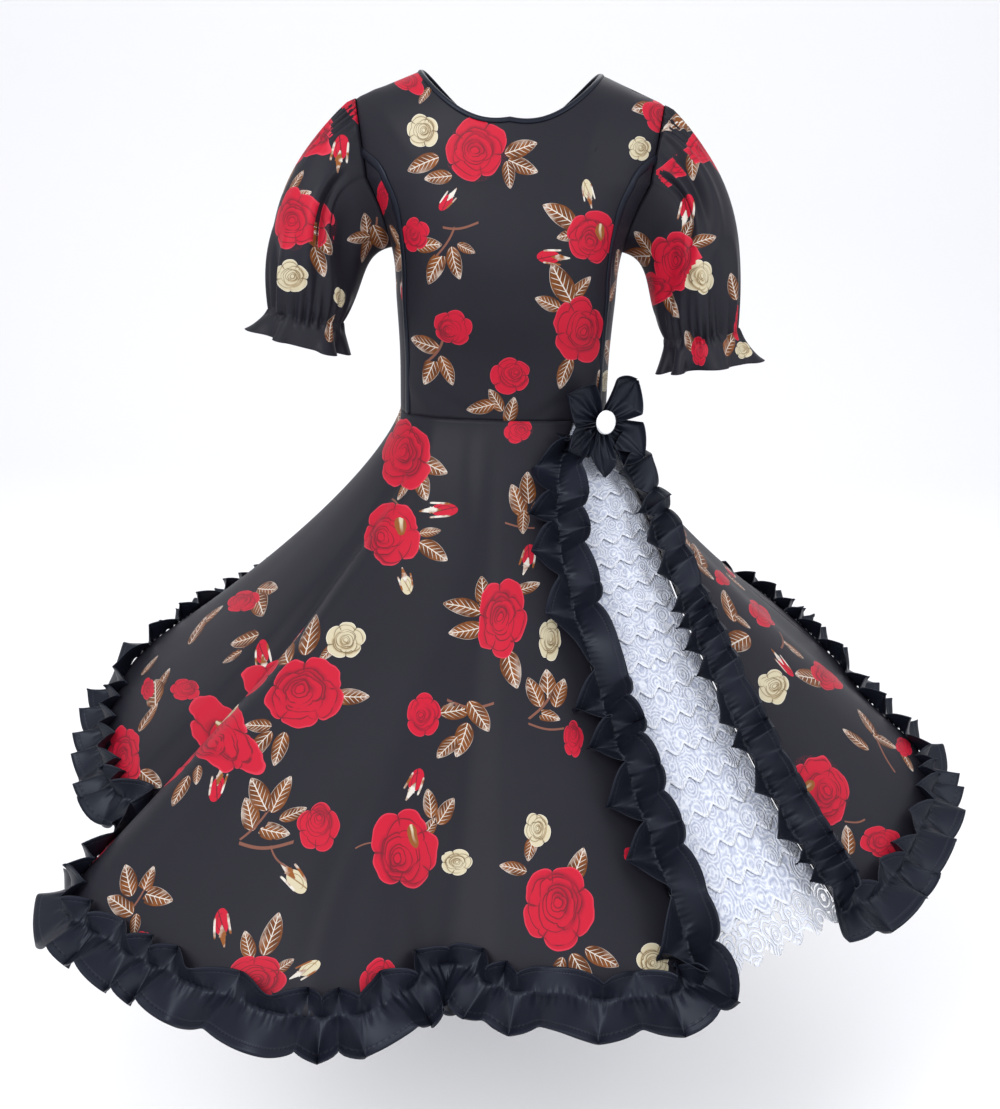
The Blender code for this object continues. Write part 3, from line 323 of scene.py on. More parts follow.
# Gathers: a curve whose direction swings like a sine, so that wide swings fold into S-curls

BESSEL_TERMS = 9
WaveRow = namedtuple("WaveRow", "size rate start")


def bessel(order, value):
    """The Bessel function of the first kind, from its series."""
    total = 0.0
    for m in range(BESSEL_TERMS):
        divisor = math.factorial(m) * math.factorial(m + order)
        total = total + (-1) ** m / divisor * (value / 2) ** (2 * m + order)
    return total


def curl(phase, swing):
    """How far a gathered edge lies along and across its line, in pitches. The swing is in radians."""
    turn = 2 * math.pi * phase
    base = bessel(0, swing)
    along = (bessel(2, swing) * np.sin(2 * turn) + bessel(4, swing) * np.sin(4 * turn) / 2) / base
    across = -(2 * bessel(1, swing) * np.cos(turn) + bessel(3, swing) * np.cos(3 * turn) * 2 / 3) / base
    return along / (2 * math.pi), across / (2 * math.pi)


def waves(table, value):
    """The sum of a table's sine waves at a value."""
    return sum(row.size * np.sin(value * row.rate + row.start) for row in table)


# Bodice

def bodice_point(side, bearing, level):
    """A point of the bodice's surface. side is -1 at the front and +1 at the back."""
    bearing = np.radians(bearing)
    lower = np.clip(level, 0.0, 1.0)
    height = WAIST + (CHEST - WAIST) * lower
    half_width = smooth(BODICE, "height", "half_width", height)
    column = "front_depth" if side < 0 else "back_depth"
    depth = smooth(BODICE, "height", column, height)
    rise = np.sin(np.radians(90.0) * np.clip(level - 1.0, 0.0, 1.0))
    swell = FRONT_SWELL if side < 0 else BACK_SWELL
    half_width = half_width + (RIDGE_HALF_WIDTH - half_width) * rise
    depth = depth * np.sqrt(1.0 - rise) * (1.0 + swell * rise)
    power = 2.0 / ROUNDNESS
    x = half_width * np.sign(bearing) * np.abs(np.sin(bearing)) ** power
    y = side * depth * np.abs(np.cos(bearing)) ** power
    height = height - WAIST_SIDE_DIP * (1.0 - lower) * (x / half_width) ** 2
    ridge = SHOULDER_SLOPE * (np.abs(x) - NECK_HALF_WIDTH)
    z = height + (ridge - height) * rise
    return np.stack([x, y, z], axis=-1)


def bodice_normal(side, bearing, level):
    """The outward normal of the bodice's surface."""
    small = 0.02
    level = np.minimum(level, 2.0 - small)
    along = bodice_point(side, bearing + 1.0, level) - bodice_point(side, bearing - 1.0, level)
    up = bodice_point(side, bearing, level + small) - bodice_point(side, bearing, level - small)
    return unit(np.cross(along, up)) * -side


def neck_level(share, lowest):
    """The level at which a column of a panel ends: the scoop near the centre, the shoulder outside."""
    inside = np.clip(np.abs(share) / NECK_SHARE, 0.0, 1.0)
    return lowest + (2.0 - lowest) * (1.0 - np.sqrt(1.0 - inside**2))


def neck_shares(scoop_steps, shoulder_steps):
    """The shares of a half panel's width at which its columns lie, from the centre to the outer edge."""
    scoop = NECK_SHARE * np.sin(np.radians(np.linspace(0.0, 90.0, scoop_steps + 1)))
    shoulder = np.linspace(NECK_SHARE, 1.0, shoulder_steps + 1)[1:]
    return np.concatenate([scoop, shoulder])


def front_edge(level):
    """The bearing of the centre front's outer edge: the princess seam, then the armhole."""
    princess = smooth(PRINCESS_SEAM, "level", "bearing", level)
    armhole = smooth(FRONT_ARMHOLE, "level", "bearing", level)
    return np.where(level <= PRINCESS_TOP_LEVEL, princess, armhole)


def side_edge(level):
    """The bearing of the side front's outer edge: the side seam, then the armhole."""
    return np.where(level <= UNDERARM_LEVEL, 90.0, smooth(FRONT_ARMHOLE, "level", "bearing", level))


def back_edge(level):
    """The bearing of a back panel's outer edge, from the centre back."""
    return np.where(level <= UNDERARM_LEVEL, 90.0, smooth(BACK_ARMHOLE, "level", "bearing", level))


def bodice_sheet(side, shares, lowest, edge, rows):
    """Points and normals of a panel with a scooped neck, rows by columns."""
    levels = np.linspace(0.0, 1.0, rows)[:, None] * neck_level(shares, lowest)[None, :]
    bearings = shares[None, :] * edge(levels)
    return bodice_point(side, bearings, levels), bodice_normal(side, bearings, levels)


def side_front_sheet(hand, rows, columns):
    """Points and normals of a side front. hand is +1 at the wearer's left."""
    levels = np.linspace(0.0, PRINCESS_TOP_LEVEL, rows)
    inner = front_edge(levels)[:, None]
    outer = side_edge(levels)[:, None].copy()
    outer[-1] = inner[-1] + 1.0
    bearings = (inner + (outer - inner) * np.linspace(0.0, 1.0, columns)[None, :]) * hand
    grid = np.broadcast_to(levels[:, None], bearings.shape)
    return bodice_point(-1, bearings, grid), bodice_normal(-1, bearings, grid)


BODICE_SEAM_DIP = 0.0012
SKIRT_SEAM_DIP = 0.0008
SEAM_DIP_WIDTH = 0.004


def seam_dip(points, normals, depth):
    """Lets a panel's side edges sink a little into their seams."""
    reach = lengths_along(points, 1)
    moved = points
    for away in (reach, reach[:, -1:] - reach):
        moved = moved - normals * (depth * np.exp(-((away / SEAM_DIP_WIDTH) ** 2)))[..., None]
    return moved


CreaseRow = namedtuple("CreaseRow", "panel x y angle length width depth")
CREASES = (
    CreaseRow("bodice_front_centre", 420, 395, 55, 60, 7, 0.0018),
    CreaseRow("bodice_front_centre", 450, 402, 30, 45, 6, -0.0012),
    CreaseRow("bodice_front_centre", 590, 385, 120, 60, 7, 0.0016),
    CreaseRow("bodice_front_centre", 560, 402, 150, 40, 6, -0.0012),
    CreaseRow("bodice_front_centre", 425, 250, 78, 55, 8, 0.0014),
    CreaseRow("bodice_front_centre", 590, 150, 100, 50, 9, 0.0016),
    CreaseRow("bodice_front_centre", 390, 120, 60, 40, 7, 0.0016),
    CreaseRow("bodice_front_centre", 628, 110, 110, 40, 8, -0.0014),
    CreaseRow("skirt_front_right", 430, 450, 98, 60, 9, 0.0022),
    CreaseRow("skirt_front_right", 470, 470, 92, 50, 8, -0.0018),
    CreaseRow("skirt_front_right", 350, 560, 118, 110, 13, 0.0035),
    CreaseRow("skirt_front_right", 300, 620, 126, 120, 12, -0.0030),
    CreaseRow("skirt_front_right", 420, 800, 96, 190, 22, -0.0050),
    CreaseRow("skirt_front_right", 330, 900, 108, 130, 18, 0.0040),
)


CREASE_BEND = 0.0011


def crease(name, points, normals):
    """Presses a panel's listed creases into its sheet. Places and sizes are pixels of the photograph."""
    seen = project(points)
    moved = points
    for row in CREASES:
        if row.panel != name:
            continue
        angle = math.radians(row.angle)
        away = seen - np.array([row.x, row.y])
        along = away[..., 0] * math.cos(angle) + away[..., 1] * math.sin(angle)
        across = -away[..., 0] * math.sin(angle) + away[..., 1] * math.cos(angle)
        bent = across + along**2 * CREASE_BEND
        height = row.depth * np.exp(-((bent / row.width) ** 2) - (along / row.length) ** 2)
        moved = moved + normals * height[..., None]
    return moved


SCOOP_STEPS = 30
SHOULDER_STEPS = 16
FRONT_ROWS = 110
BACK_ROWS = 100
SIDE_FRONT_ROWS = 90
SIDE_FRONT_COLUMNS = 20


def build_bodice(materials):
    """The five bodice panels."""
    shares = neck_shares(SCOOP_STEPS, SHOULDER_STEPS)
    both = np.concatenate([-shares[:0:-1], shares])
    sheets = {"bodice_front_centre": bodice_sheet(-1, both, FRONT_NECK_LEVEL, front_edge, FRONT_ROWS)}
    for hand, word in ((-1, "right"), (1, "left")):
        sheets["bodice_side_front_" + word] = side_front_sheet(hand, SIDE_FRONT_ROWS, SIDE_FRONT_COLUMNS)
        sheets["bodice_back_" + word] = bodice_sheet(1, shares * hand, BACK_NECK_LEVEL, back_edge, BACK_ROWS)
    pieces = {}
    for name, (points, normals) in sheets.items():
        moved = crease(name, points, normals)
        moved = seam_dip(moved, normals, BODICE_SEAM_DIP)
        piece = shell(name + "_cloth", moved, normals, CLOTH, materials)
        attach(piece, "dress")
        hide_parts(name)
        pieces[name] = (piece, moved, normals)
    return pieces


BAND_WIDTH = 0.0095
BAND_HEIGHT = 0.0019
BAND_LIFT = 0.0002
BAND_ROUND = 0.8
BAND_STEPS = 8
BAND_ROWS = 80
BAND_WAVES = (WaveRow(0.10, 23.0, 0.0), WaveRow(0.06, 51.0, 1.0))


def band_along(name, line, normals, side, materials):
    """A soft strip with a domed section along a line, lying on a surface with these normals."""
    sections = []
    for step in range(BAND_STEPS + 1):
        angle = math.pi * step / BAND_STEPS
        across = -math.cos(angle) * BAND_WIDTH / 2
        rise = math.sin(angle) ** BAND_ROUND * BAND_HEIGHT
        sections.append(line + side * across + normals * (rise + BAND_LIFT))
    points = np.stack(sections)
    spread = grid_normals(points)
    if np.sum(spread[BAND_STEPS // 2] * normals) < 0:
        spread = -spread
    return shell(name, points, spread, CLOTH, materials)


def build_bands(materials):
    """The plain rolled strips along the princess seams, from the armhole to the waist."""
    for hand, word in ((-1, "right"), (1, "left")):
        levels = np.linspace(0.0, PRINCESS_TOP_LEVEL, BAND_ROWS)
        bearings = front_edge(levels) * hand
        line = bodice_point(-1, bearings, levels)
        out = bodice_normal(-1, bearings, levels)
        side = unit(np.cross(out, unit(np.gradient(line, axis=0))))
        uneven = 1.0 + waves(BAND_WAVES, levels)
        name = "princess_band_" + word
        band = band_along(name + "_cloth", line, out, side * uneven[:, None], materials)
        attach(band, "dress")
        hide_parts(name)


BINDING_SCOOP_STEPS = 60
BINDING_SEAT = 0.0022
BINDING_HALF_HEIGHT = 0.0030
BINDING_HALF_DEPTH = 0.0017
BINDING_CLOTH = 0.0006
BINDING_TURNS = (-60.0, 240.0, 13)


def build_neck_binding(materials):
    """The narrow strip along the neck's edge, open at the centre back."""
    scoop = neck_shares(BINDING_SCOOP_STEPS, SHOULDER_STEPS)[:BINDING_SCOOP_STEPS + 1]
    across = np.concatenate([-scoop[:0:-1], scoop])
    ends = neck_level(across, FRONT_NECK_LEVEL)
    front = bodice_point(-1, across * front_edge(ends), ends)
    front_out = bodice_normal(-1, across * front_edge(ends), ends)
    back_ends = neck_level(scoop, BACK_NECK_LEVEL)
    halves = []
    for hand in (-1, 1):
        bearings = scoop * hand * back_edge(back_ends)
        halves.append((bodice_point(1, bearings, back_ends), bodice_normal(1, bearings, back_ends)))
    line = np.concatenate([halves[0][0][:-1], front, halves[1][0][-2::-1]])
    out = np.concatenate([halves[0][1][:-1], front_out, halves[1][1][-2::-1]])
    line[0, 0] -= SEAM_GAP
    line[-1, 0] += SEAM_GAP
    tangent = unit(np.gradient(line, axis=0))
    tangent[[0, -1]] = (-1.0, 0.0, 0.0)
    away = unit(np.cross(out, tangent))
    if np.sum(away * (line - line.mean(axis=0))) > 0:
        away = -away
    sections = []
    for angle in np.radians(np.linspace(*BINDING_TURNS)):
        inward = BINDING_SEAT + BINDING_HALF_HEIGHT * math.sin(angle)
        sections.append(line + away * inward + out * BINDING_HALF_DEPTH * math.cos(angle))
    points = np.stack(sections)
    normals = unit(points - points.mean(axis=0))
    piece = shell("neck_binding_cloth", points, normals, BINDING_CLOTH, materials)
    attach(piece, "dress")
    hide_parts("neck_binding")


# Sleeves

ARMHOLE_LEVELS = (2.0, 1.8, 1.6, 1.4, 1.2, 1.1, 1.0, 0.86, 0.70, 0.86, 1.0, 1.1, 1.2, 1.4, 1.6, 1.8, 2.0)
UNDERARM_PLACE = 8.0
FoldRow = namedtuple("FoldRow", "sleeve bearing width start end depth lean")
SLEEVE_FOLDS = (
    FoldRow("sleeve_right", 112.0, 13.0, 0.10, 0.95, -0.012, 6.0),
    FoldRow("sleeve_right", 92.0, 14.0, 0.05, 0.90, 0.006, 4.0),
    FoldRow("sleeve_right", 60.0, 10.0, 0.62, 1.05, 0.007, -14.0),
    FoldRow("sleeve_right", 40.0, 9.0, 0.70, 1.05, -0.005, -10.0),
    FoldRow("sleeve_right", 20.0, 10.0, 0.66, 1.05, 0.005, 8.0),
    FoldRow("sleeve_right", 150.0, 16.0, 0.15, 0.80, -0.008, 0.0),
    FoldRow("sleeve_right", 230.0, 14.0, 0.20, 0.90, -0.007, 10.0),
    FoldRow("sleeve_right", 285.0, 12.0, 0.10, 0.70, -0.006, 0.0),
    FoldRow("sleeve_left", 82.0, 9.0, 0.0, 0.55, -0.007, 10.0),
    FoldRow("sleeve_left", 62.0, 10.0, 0.0, 0.60, 0.006, 6.0),
    FoldRow("sleeve_left", 118.0, 13.0, 0.0, 0.62, -0.010, 4.0),
    FoldRow("sleeve_left", 100.0, 10.0, 0.55, 1.05, 0.006, -8.0),
    FoldRow("sleeve_left", 75.0, 9.0, 0.62, 1.05, -0.006, 5.0),
    FoldRow("sleeve_left", 45.0, 10.0, 0.60, 1.05, 0.006, 12.0),
    FoldRow("sleeve_left", 150.0, 14.0, 0.30, 0.95, -0.006, 0.0),
    FoldRow("sleeve_left", 235.0, 13.0, 0.20, 0.90, -0.007, 10.0),
    FoldRow("sleeve_left", 290.0, 12.0, 0.10, 0.70, -0.006, 0.0),
)
SLEEVE_COLUMNS = 288
SLEEVE_ROWS = 60
FRILL_ROWS = 20
FRILL_WAVES = 7
FRILL_SWING = 1.42
FRILL_HEIGHT = 0.60
FRILL_EXTRA_FLARE = 0.005
GATHER_WRINKLES = 26
CUFF_WRINKLE = 0.0030
CUFF_WRINKLE_START = 0.70
CAP_WRINKLE = 0.0028
CAP_WRINKLE_REACH = 0.16


def armhole_loop(side, places):
    """Points and normals round an armhole. Places run from the shoulder down the front and up the back."""
    levels = np.interp(places, np.arange(len(ARMHOLE_LEVELS)), ARMHOLE_LEVELS)
    in_front = places <= UNDERARM_PLACE
    front_bearing = smooth(FRONT_ARMHOLE, "level", "bearing", levels) * side
    back_bearing = smooth(BACK_ARMHOLE, "level", "bearing", levels) * side
    front = bodice_point(-1, front_bearing, levels)
    back = bodice_point(1, back_bearing, levels)
    points = np.where(in_front[:, None], front, back)
    front_out = bodice_normal(-1, front_bearing, levels)
    back_out = bodice_normal(1, back_bearing, levels)
    return points, np.where(in_front[:, None], front_out, back_out)


def sleeve_sheet(row):
    """Points of a sleeve, rows by columns, from the armhole to the frill's edge."""
    places = np.arange(SLEEVE_COLUMNS) * (len(ARMHOLE_LEVELS) - 1) / SLEEVE_COLUMNS
    loop, normals = armhole_loop(row.side, places)
    tangent = unit(np.roll(loop, -1, axis=0) - np.roll(loop, 1, axis=0))
    away = unit(np.cross(normals, tangent))
    if np.sum(away * (loop - loop.mean(axis=0))) > 0:
        away = -away
    start = loop + away * (SEAM_GAP + CLOTH)
    turn = 2 * math.pi * np.arange(SLEEVE_COLUMNS) / SLEEVE_COLUMNS
    out = np.array([row.side, 0.0, 0.0])
    front = np.array([0.0, -1.0, 0.0])
    arm = unit(np.array([row.side * ARM_OUTWARD, -ARM_FORWARD, -1.0]))
    across = unit(out - arm * np.dot(out, arm))
    deep = unit(front - arm * np.dot(front, arm))
    ring = np.cos(turn)[:, None] * across * PINCH_ACROSS + np.sin(turn)[:, None] * deep * PINCH_DEEP
    end = np.array([row.side * row.pinch_x, row.pinch_y, row.pinch_z]) + ring
    radial = unit(ring)
    reach = np.linalg.norm(end - start, axis=1)[:, None] * PUFF_REACH
    top = (0.5 + 0.5 * np.cos(turn))[:, None]
    leave = unit(
        out * (0.85 - 0.15 * top)
        + front * 0.35 * np.sin(turn)[:, None]
        + np.array([0.0, 0.0, -1.0]) * (0.15 + 0.38 * top)
    )
    first = start + leave * reach
    second = end - arm * reach + radial * PUFF_BULGE
    rows = []
    for t in np.linspace(0.0, 1.0, SLEEVE_ROWS + 1):
        rows.append(
            start * (1 - t) ** 3
            + first * 3 * t * (1 - t) ** 2
            + second * 3 * t * t * (1 - t)
            + end * t**3
        )
    puff = np.stack(rows)
    spread = grid_normals(puff, closed=True)
    if np.sum(spread[-1] * radial) < 0:
        spread = -spread
    bearing = np.degrees(turn)[None, :]
    t = np.linspace(0.0, 1.0, SLEEVE_ROWS + 1)[:, None]
    height = 0 * bearing * t
    for fold in SLEEVE_FOLDS:
        if fold.sleeve != row.name:
            continue
        middle = (fold.start + fold.end) / 2
        off = (bearing - fold.bearing - fold.lean * (t - middle) + 180.0) % 360.0 - 180.0
        span = np.clip((t - fold.start) / (fold.end - fold.start), 0.0, 1.0)
        height = height + fold.depth * np.exp(-((off / fold.width) ** 2)) * np.sin(math.pi * span) ** 0.8
    wobble = 1.3 * np.sin(turn * 3 + row.side) + 0.8 * np.sin(turn * 7 + 1.0)
    wrinkle = np.sin(turn * GATHER_WRINKLES + wobble)[None, :]
    near_cuff = np.clip((t - CUFF_WRINKLE_START) / (1.0 - CUFF_WRINKLE_START), 0.0, 1.0) ** 1.6
    height = height + CUFF_WRINKLE * wrinkle * near_cuff
    cap = np.clip(np.cos(turn), 0.0, 1.0)[None, :]
    near_cap = np.exp(-((t / CAP_WRINKLE_REACH) ** 2)) * np.clip(t / 0.03, 0.0, 1.0)
    height = height + CAP_WRINKLE * wrinkle * cap * near_cap
    puff = puff + spread * height[..., None]
    frill = []
    phase = FRILL_WAVES * turn / (2 * math.pi) + 0.16 * np.sin(2 * turn + row.side) + 0.10 * np.sin(5 * turn)
    uneven = 1.0 + 0.22 * np.sin(3 * turn + 0.7) + 0.12 * np.sin(7 * turn)
    pitch = 2 * math.pi * (PINCH_ACROSS + PINCH_DEEP) / 2 / FRILL_WAVES
    edge_step = unit(np.roll(end, -1, axis=0) - np.roll(end, 1, axis=0))
    for t in np.linspace(0.0, 1.0, FRILL_ROWS + 1)[1:]:
        raised = row.lift * (0.5 + 0.5 * np.cos(turn - math.radians(row.lift_bearing)))
        drop = (row.frill - raised) * t
        shift, wave = curl(phase, FRILL_SWING * t**0.7 * uneven)
        pinch_mark = CUFF_WRINKLE * np.sin(turn * GATHER_WRINKLES + wobble) * math.exp(-((t / 0.25) ** 2))
        spread_out = (row.flare + FRILL_EXTRA_FLARE) * t + wave * pitch * FRILL_HEIGHT + pinch_mark
        frill.append(
            end + arm * drop[:, None] + radial * spread_out[:, None] + edge_step * (shift * pitch)[:, None]
        )
    return np.concatenate([puff, np.stack(frill)])


def build_sleeves(materials):
    """Both short sleeves, each with its frill in one piece."""
    pieces = {}
    for row in SLEEVES:
        points = sleeve_sheet(row)
        normals = grid_normals(points, closed=True)
        centre = points.mean(axis=1, keepdims=True)
        if np.sum(normals * (points - centre)) < 0:
            normals = -normals
        piece = shell(row.name + "_cloth", points, normals, CLOTH, materials, closed=True)
        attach(piece, "dress")
        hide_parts(row.name)
        pieces[row.name] = (piece, points, normals)
    return pieces


# Skirt

def waist_radius(bearing):
    """The waist's distance from the axis at a bearing in degrees."""
    angle = np.radians(bearing)
    waist = BODICE[0]
    depth = np.where(np.cos(angle) > 0, waist.front_depth, waist.back_depth)
    across = np.abs(np.sin(angle) / waist.half_width) ** ROUNDNESS
    deep = np.abs(np.cos(angle) / depth) ** ROUNDNESS
    return (across + deep) ** (-1.0 / ROUNDNESS)


def skirt_point(bearing, drop):
    """A point of the skirt's surface. drop is 0 at the waist and 1 at the hem line."""
    place = (bearing - HEM[0].bearing) % 360.0 + HEM[0].bearing
    radius = smooth(HEM, "bearing", "radius", place)
    calm = smooth(HEM, "bearing", "calm_radius", place)
    height = smooth(HEM, "bearing", "height", place)
    start = waist_radius(bearing)
    flared = start + (calm - start) * drop**FLARE_POWER + (radius - calm) * drop**FOLD_POWER
    angle = np.radians(bearing)
    sideways = start * np.sin(angle) / BODICE[0].half_width
    top = WAIST - SEAM_GAP - WAIST_SIDE_DIP * sideways**2
    z = top + (height - top) * drop
    return np.stack([flared * np.sin(angle), -flared * np.cos(angle), z + 0 * angle], axis=-1)


def slit_bearings(drop):
    """The bearings of the slit's left and right edges at a drop."""
    left = smooth(SLIT, "drop", "left_bearing", drop)
    right = smooth(SLIT, "drop", "right_bearing", drop)
    return left, right


def skirt_surface(base, drop):
    """The skirt's surface at a column, which the slit's edges pull round, and a drop."""
    left, right = slit_bearings(np.clip(drop, 0.0, 1.0))
    near_left = np.clip(1.0 - (base - SKIRT_PANELS[0].start) / SLIT_PULL_SPAN, 0.0, 1.0)
    near_right = np.clip(1.0 - (SKIRT_PANELS[-1].end - base) / SLIT_PULL_SPAN, 0.0, 1.0)
    left_pull = (left - SLIT[-1].left_bearing) * near_left
    right_pull = (right - SLIT[-1].right_bearing) * near_right
    return skirt_point(base + left_pull + right_pull, drop)


def skirt_frame(base, drop):
    """The surface's unit steps along the hem and up the skirt, its normal, and its two rates of travel."""
    small = 0.004
    by_base = (skirt_surface(base + 0.2, drop) - skirt_surface(base - 0.2, drop)) / 0.4
    higher = np.maximum(drop - small, 0.0)
    lower = drop + small
    by_drop = (skirt_surface(base, lower) - skirt_surface(base, higher)) / (lower - higher)[..., None]
    normal = unit(np.cross(by_drop, by_base))
    flat = np.concatenate([skirt_surface(base, drop)[..., :2], 0 * normal[..., :1]], axis=-1)
    normal = np.where(dot(normal, flat) < 0, -normal, normal)
    return by_base, by_drop, normal


SKIRT_ROWS = 104
SKIRT_STEP = 0.0050


def build_skirt(materials):
    """The four flared panels."""
    pieces = {}
    for panel in SKIRT_PANELS:
        fine = np.linspace(panel.start, panel.end, 500)
        line = skirt_surface(fine, np.ones_like(fine))
        walked = np.concatenate([[0.0], np.cumsum(np.linalg.norm(np.diff(line, axis=0), axis=1))])
        columns = int(walked[-1] / SKIRT_STEP)
        bases = np.interp(np.linspace(0.0, walked[-1], columns), walked, fine)
        drops = np.linspace(0.001, 1.0, SKIRT_ROWS)
        base, drop = np.meshgrid(bases, drops)
        points = skirt_surface(base, drop)
        normals = skirt_frame(base, drop)[2]
        moved = crease(panel.name, points, normals)
        moved = seam_dip(moved, normals, SKIRT_SEAM_DIP)
        piece = shell(panel.name + "_cloth", moved, normals, CLOTH, materials)
        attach(piece, "dress")
        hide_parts(panel.name)
        pieces[panel.name] = (piece, moved, normals)
    return pieces


# Ruffles

HEADER = 0.027
FLANGE = 0.043
SLIT_SIDE = 0.041
SLIT_SIDE_AT_TOP = 0.030
SLIT_TOP_DROP = 0.040
SLIT_FULL_DROP = 0.16
CORNER = 0.030
HEM_PITCH = 0.054
FIRST_SIDE_PITCH = 0.058
FIRST_SIDE_PITCH_AT_HEM = 0.088
LAST_SIDE_PITCH = 0.043
RUFFLE_STEP = 0.0020
RUFFLE_ROWS = 11
CURL_HEIGHT = 0.80
WAVE_SHARE = 0.84
WIDEST_SWING = 2.0
SLIT_LEAN = 40.0
HEADER_LEAN = 38.0
FLANGE_LEAN = 14.0
RuffleRow = namedtuple("RuffleRow", "name start end nodes flat_length")
RUFFLES = (
    RuffleRow(
        "ruffle_front_right", None, 262.0,
        ("slit_ruffle_right_1", "slit_ruffle_right_2", "hem_ruffle_6", "hem_ruffle_7", "hem_ruffle_8"), 2.6,
    ),
    RuffleRow("ruffle_back_right", 262.0, 180.0, ("hem_ruffle_4", "hem_ruffle_5"), 1.05),
    RuffleRow("ruffle_back_left", 180.0, 98.0, ("hem_ruffle_2", "hem_ruffle_3"), 1.05),
    RuffleRow(
        "ruffle_front_left", 98.0, None, ("hem_ruffle_1", "slit_ruffle_left_1", "slit_ruffle_left_2"), 1.6,
    ),
)


PHASE_WAVES = (WaveRow(0.30, 0.83, 0.0), WaveRow(0.20, 1.71, 2.0), WaveRow(0.12, 3.3, 0.0))
HEADER_SWING = 1.60
HEADER_SWING_WAVES = (WaveRow(0.18, 1.37, 0.5), WaveRow(0.12, 2.9, 0.0))
FLANGE_SWING = 1.52
FLANGE_SWING_WAVES = (WaveRow(0.20, 1.13, 2.2), WaveRow(0.12, 2.3, 0.0))
FLANGE_LAG = 0.46
SWING_GROWTH = 0.65
FLOOR_SOFTNESS = 0.0016
CRIMP = 0.0011
CRIMP_REACH = 0.3
PATH_DOWN_STEPS = 400
PATH_HEM_STEPS = 3000


def ruffle_path():
    """The ruffle's gathering line: down one side of the slit, round the hem and up the other side.

    Returns the columns, the drops and the turn of the inward direction, which is 0 where the ruffle runs
    down the first side, 90 degrees along the hem and 180 degrees up the other side."""
    first = SKIRT_PANELS[-1].end
    last = SKIRT_PANELS[0].start
    down = np.linspace(SLIT_TOP_DROP, 1.0, PATH_DOWN_STEPS)
    around = np.linspace(first, last, PATH_HEM_STEPS)
    bases = np.concatenate([0 * down + first, around, 0 * down + last])
    drops = np.concatenate([down, np.ones(PATH_HEM_STEPS), down[::-1]])
    points = skirt_surface(bases, drops)
    walked = np.concatenate([[0.0], np.cumsum(np.linalg.norm(np.diff(points, axis=0), axis=1))])
    corners = (walked[PATH_DOWN_STEPS - 1], walked[PATH_DOWN_STEPS + PATH_HEM_STEPS - 1])
    places = np.arange(0.0, walked[-1], RUFFLE_STEP)
    base = np.interp(places, walked, bases)
    drop = np.interp(places, walked, drops)
    turn = 0 * places
    for corner in corners:
        turn = turn + 90.0 * np.clip((places - corner) / CORNER * 0.5 + 0.5, 0.0, 1.0)
    return places, base, drop, turn, corners


def soft_cap(value, limit):
    """A value that bends over as it comes near a limit."""
    limit = np.maximum(limit, 1e-6)
    return value / (1.0 + np.abs(value / limit) ** 4) ** 0.25


def resting(rise, share):
    """A ruffle's rise, kept softly from sinking into the cloth that it lies on."""
    return (rise + np.sqrt(rise**2 + FLOOR_SOFTNESS**2)) / 2 - FLOOR_SOFTNESS / 2 * (1 - share)


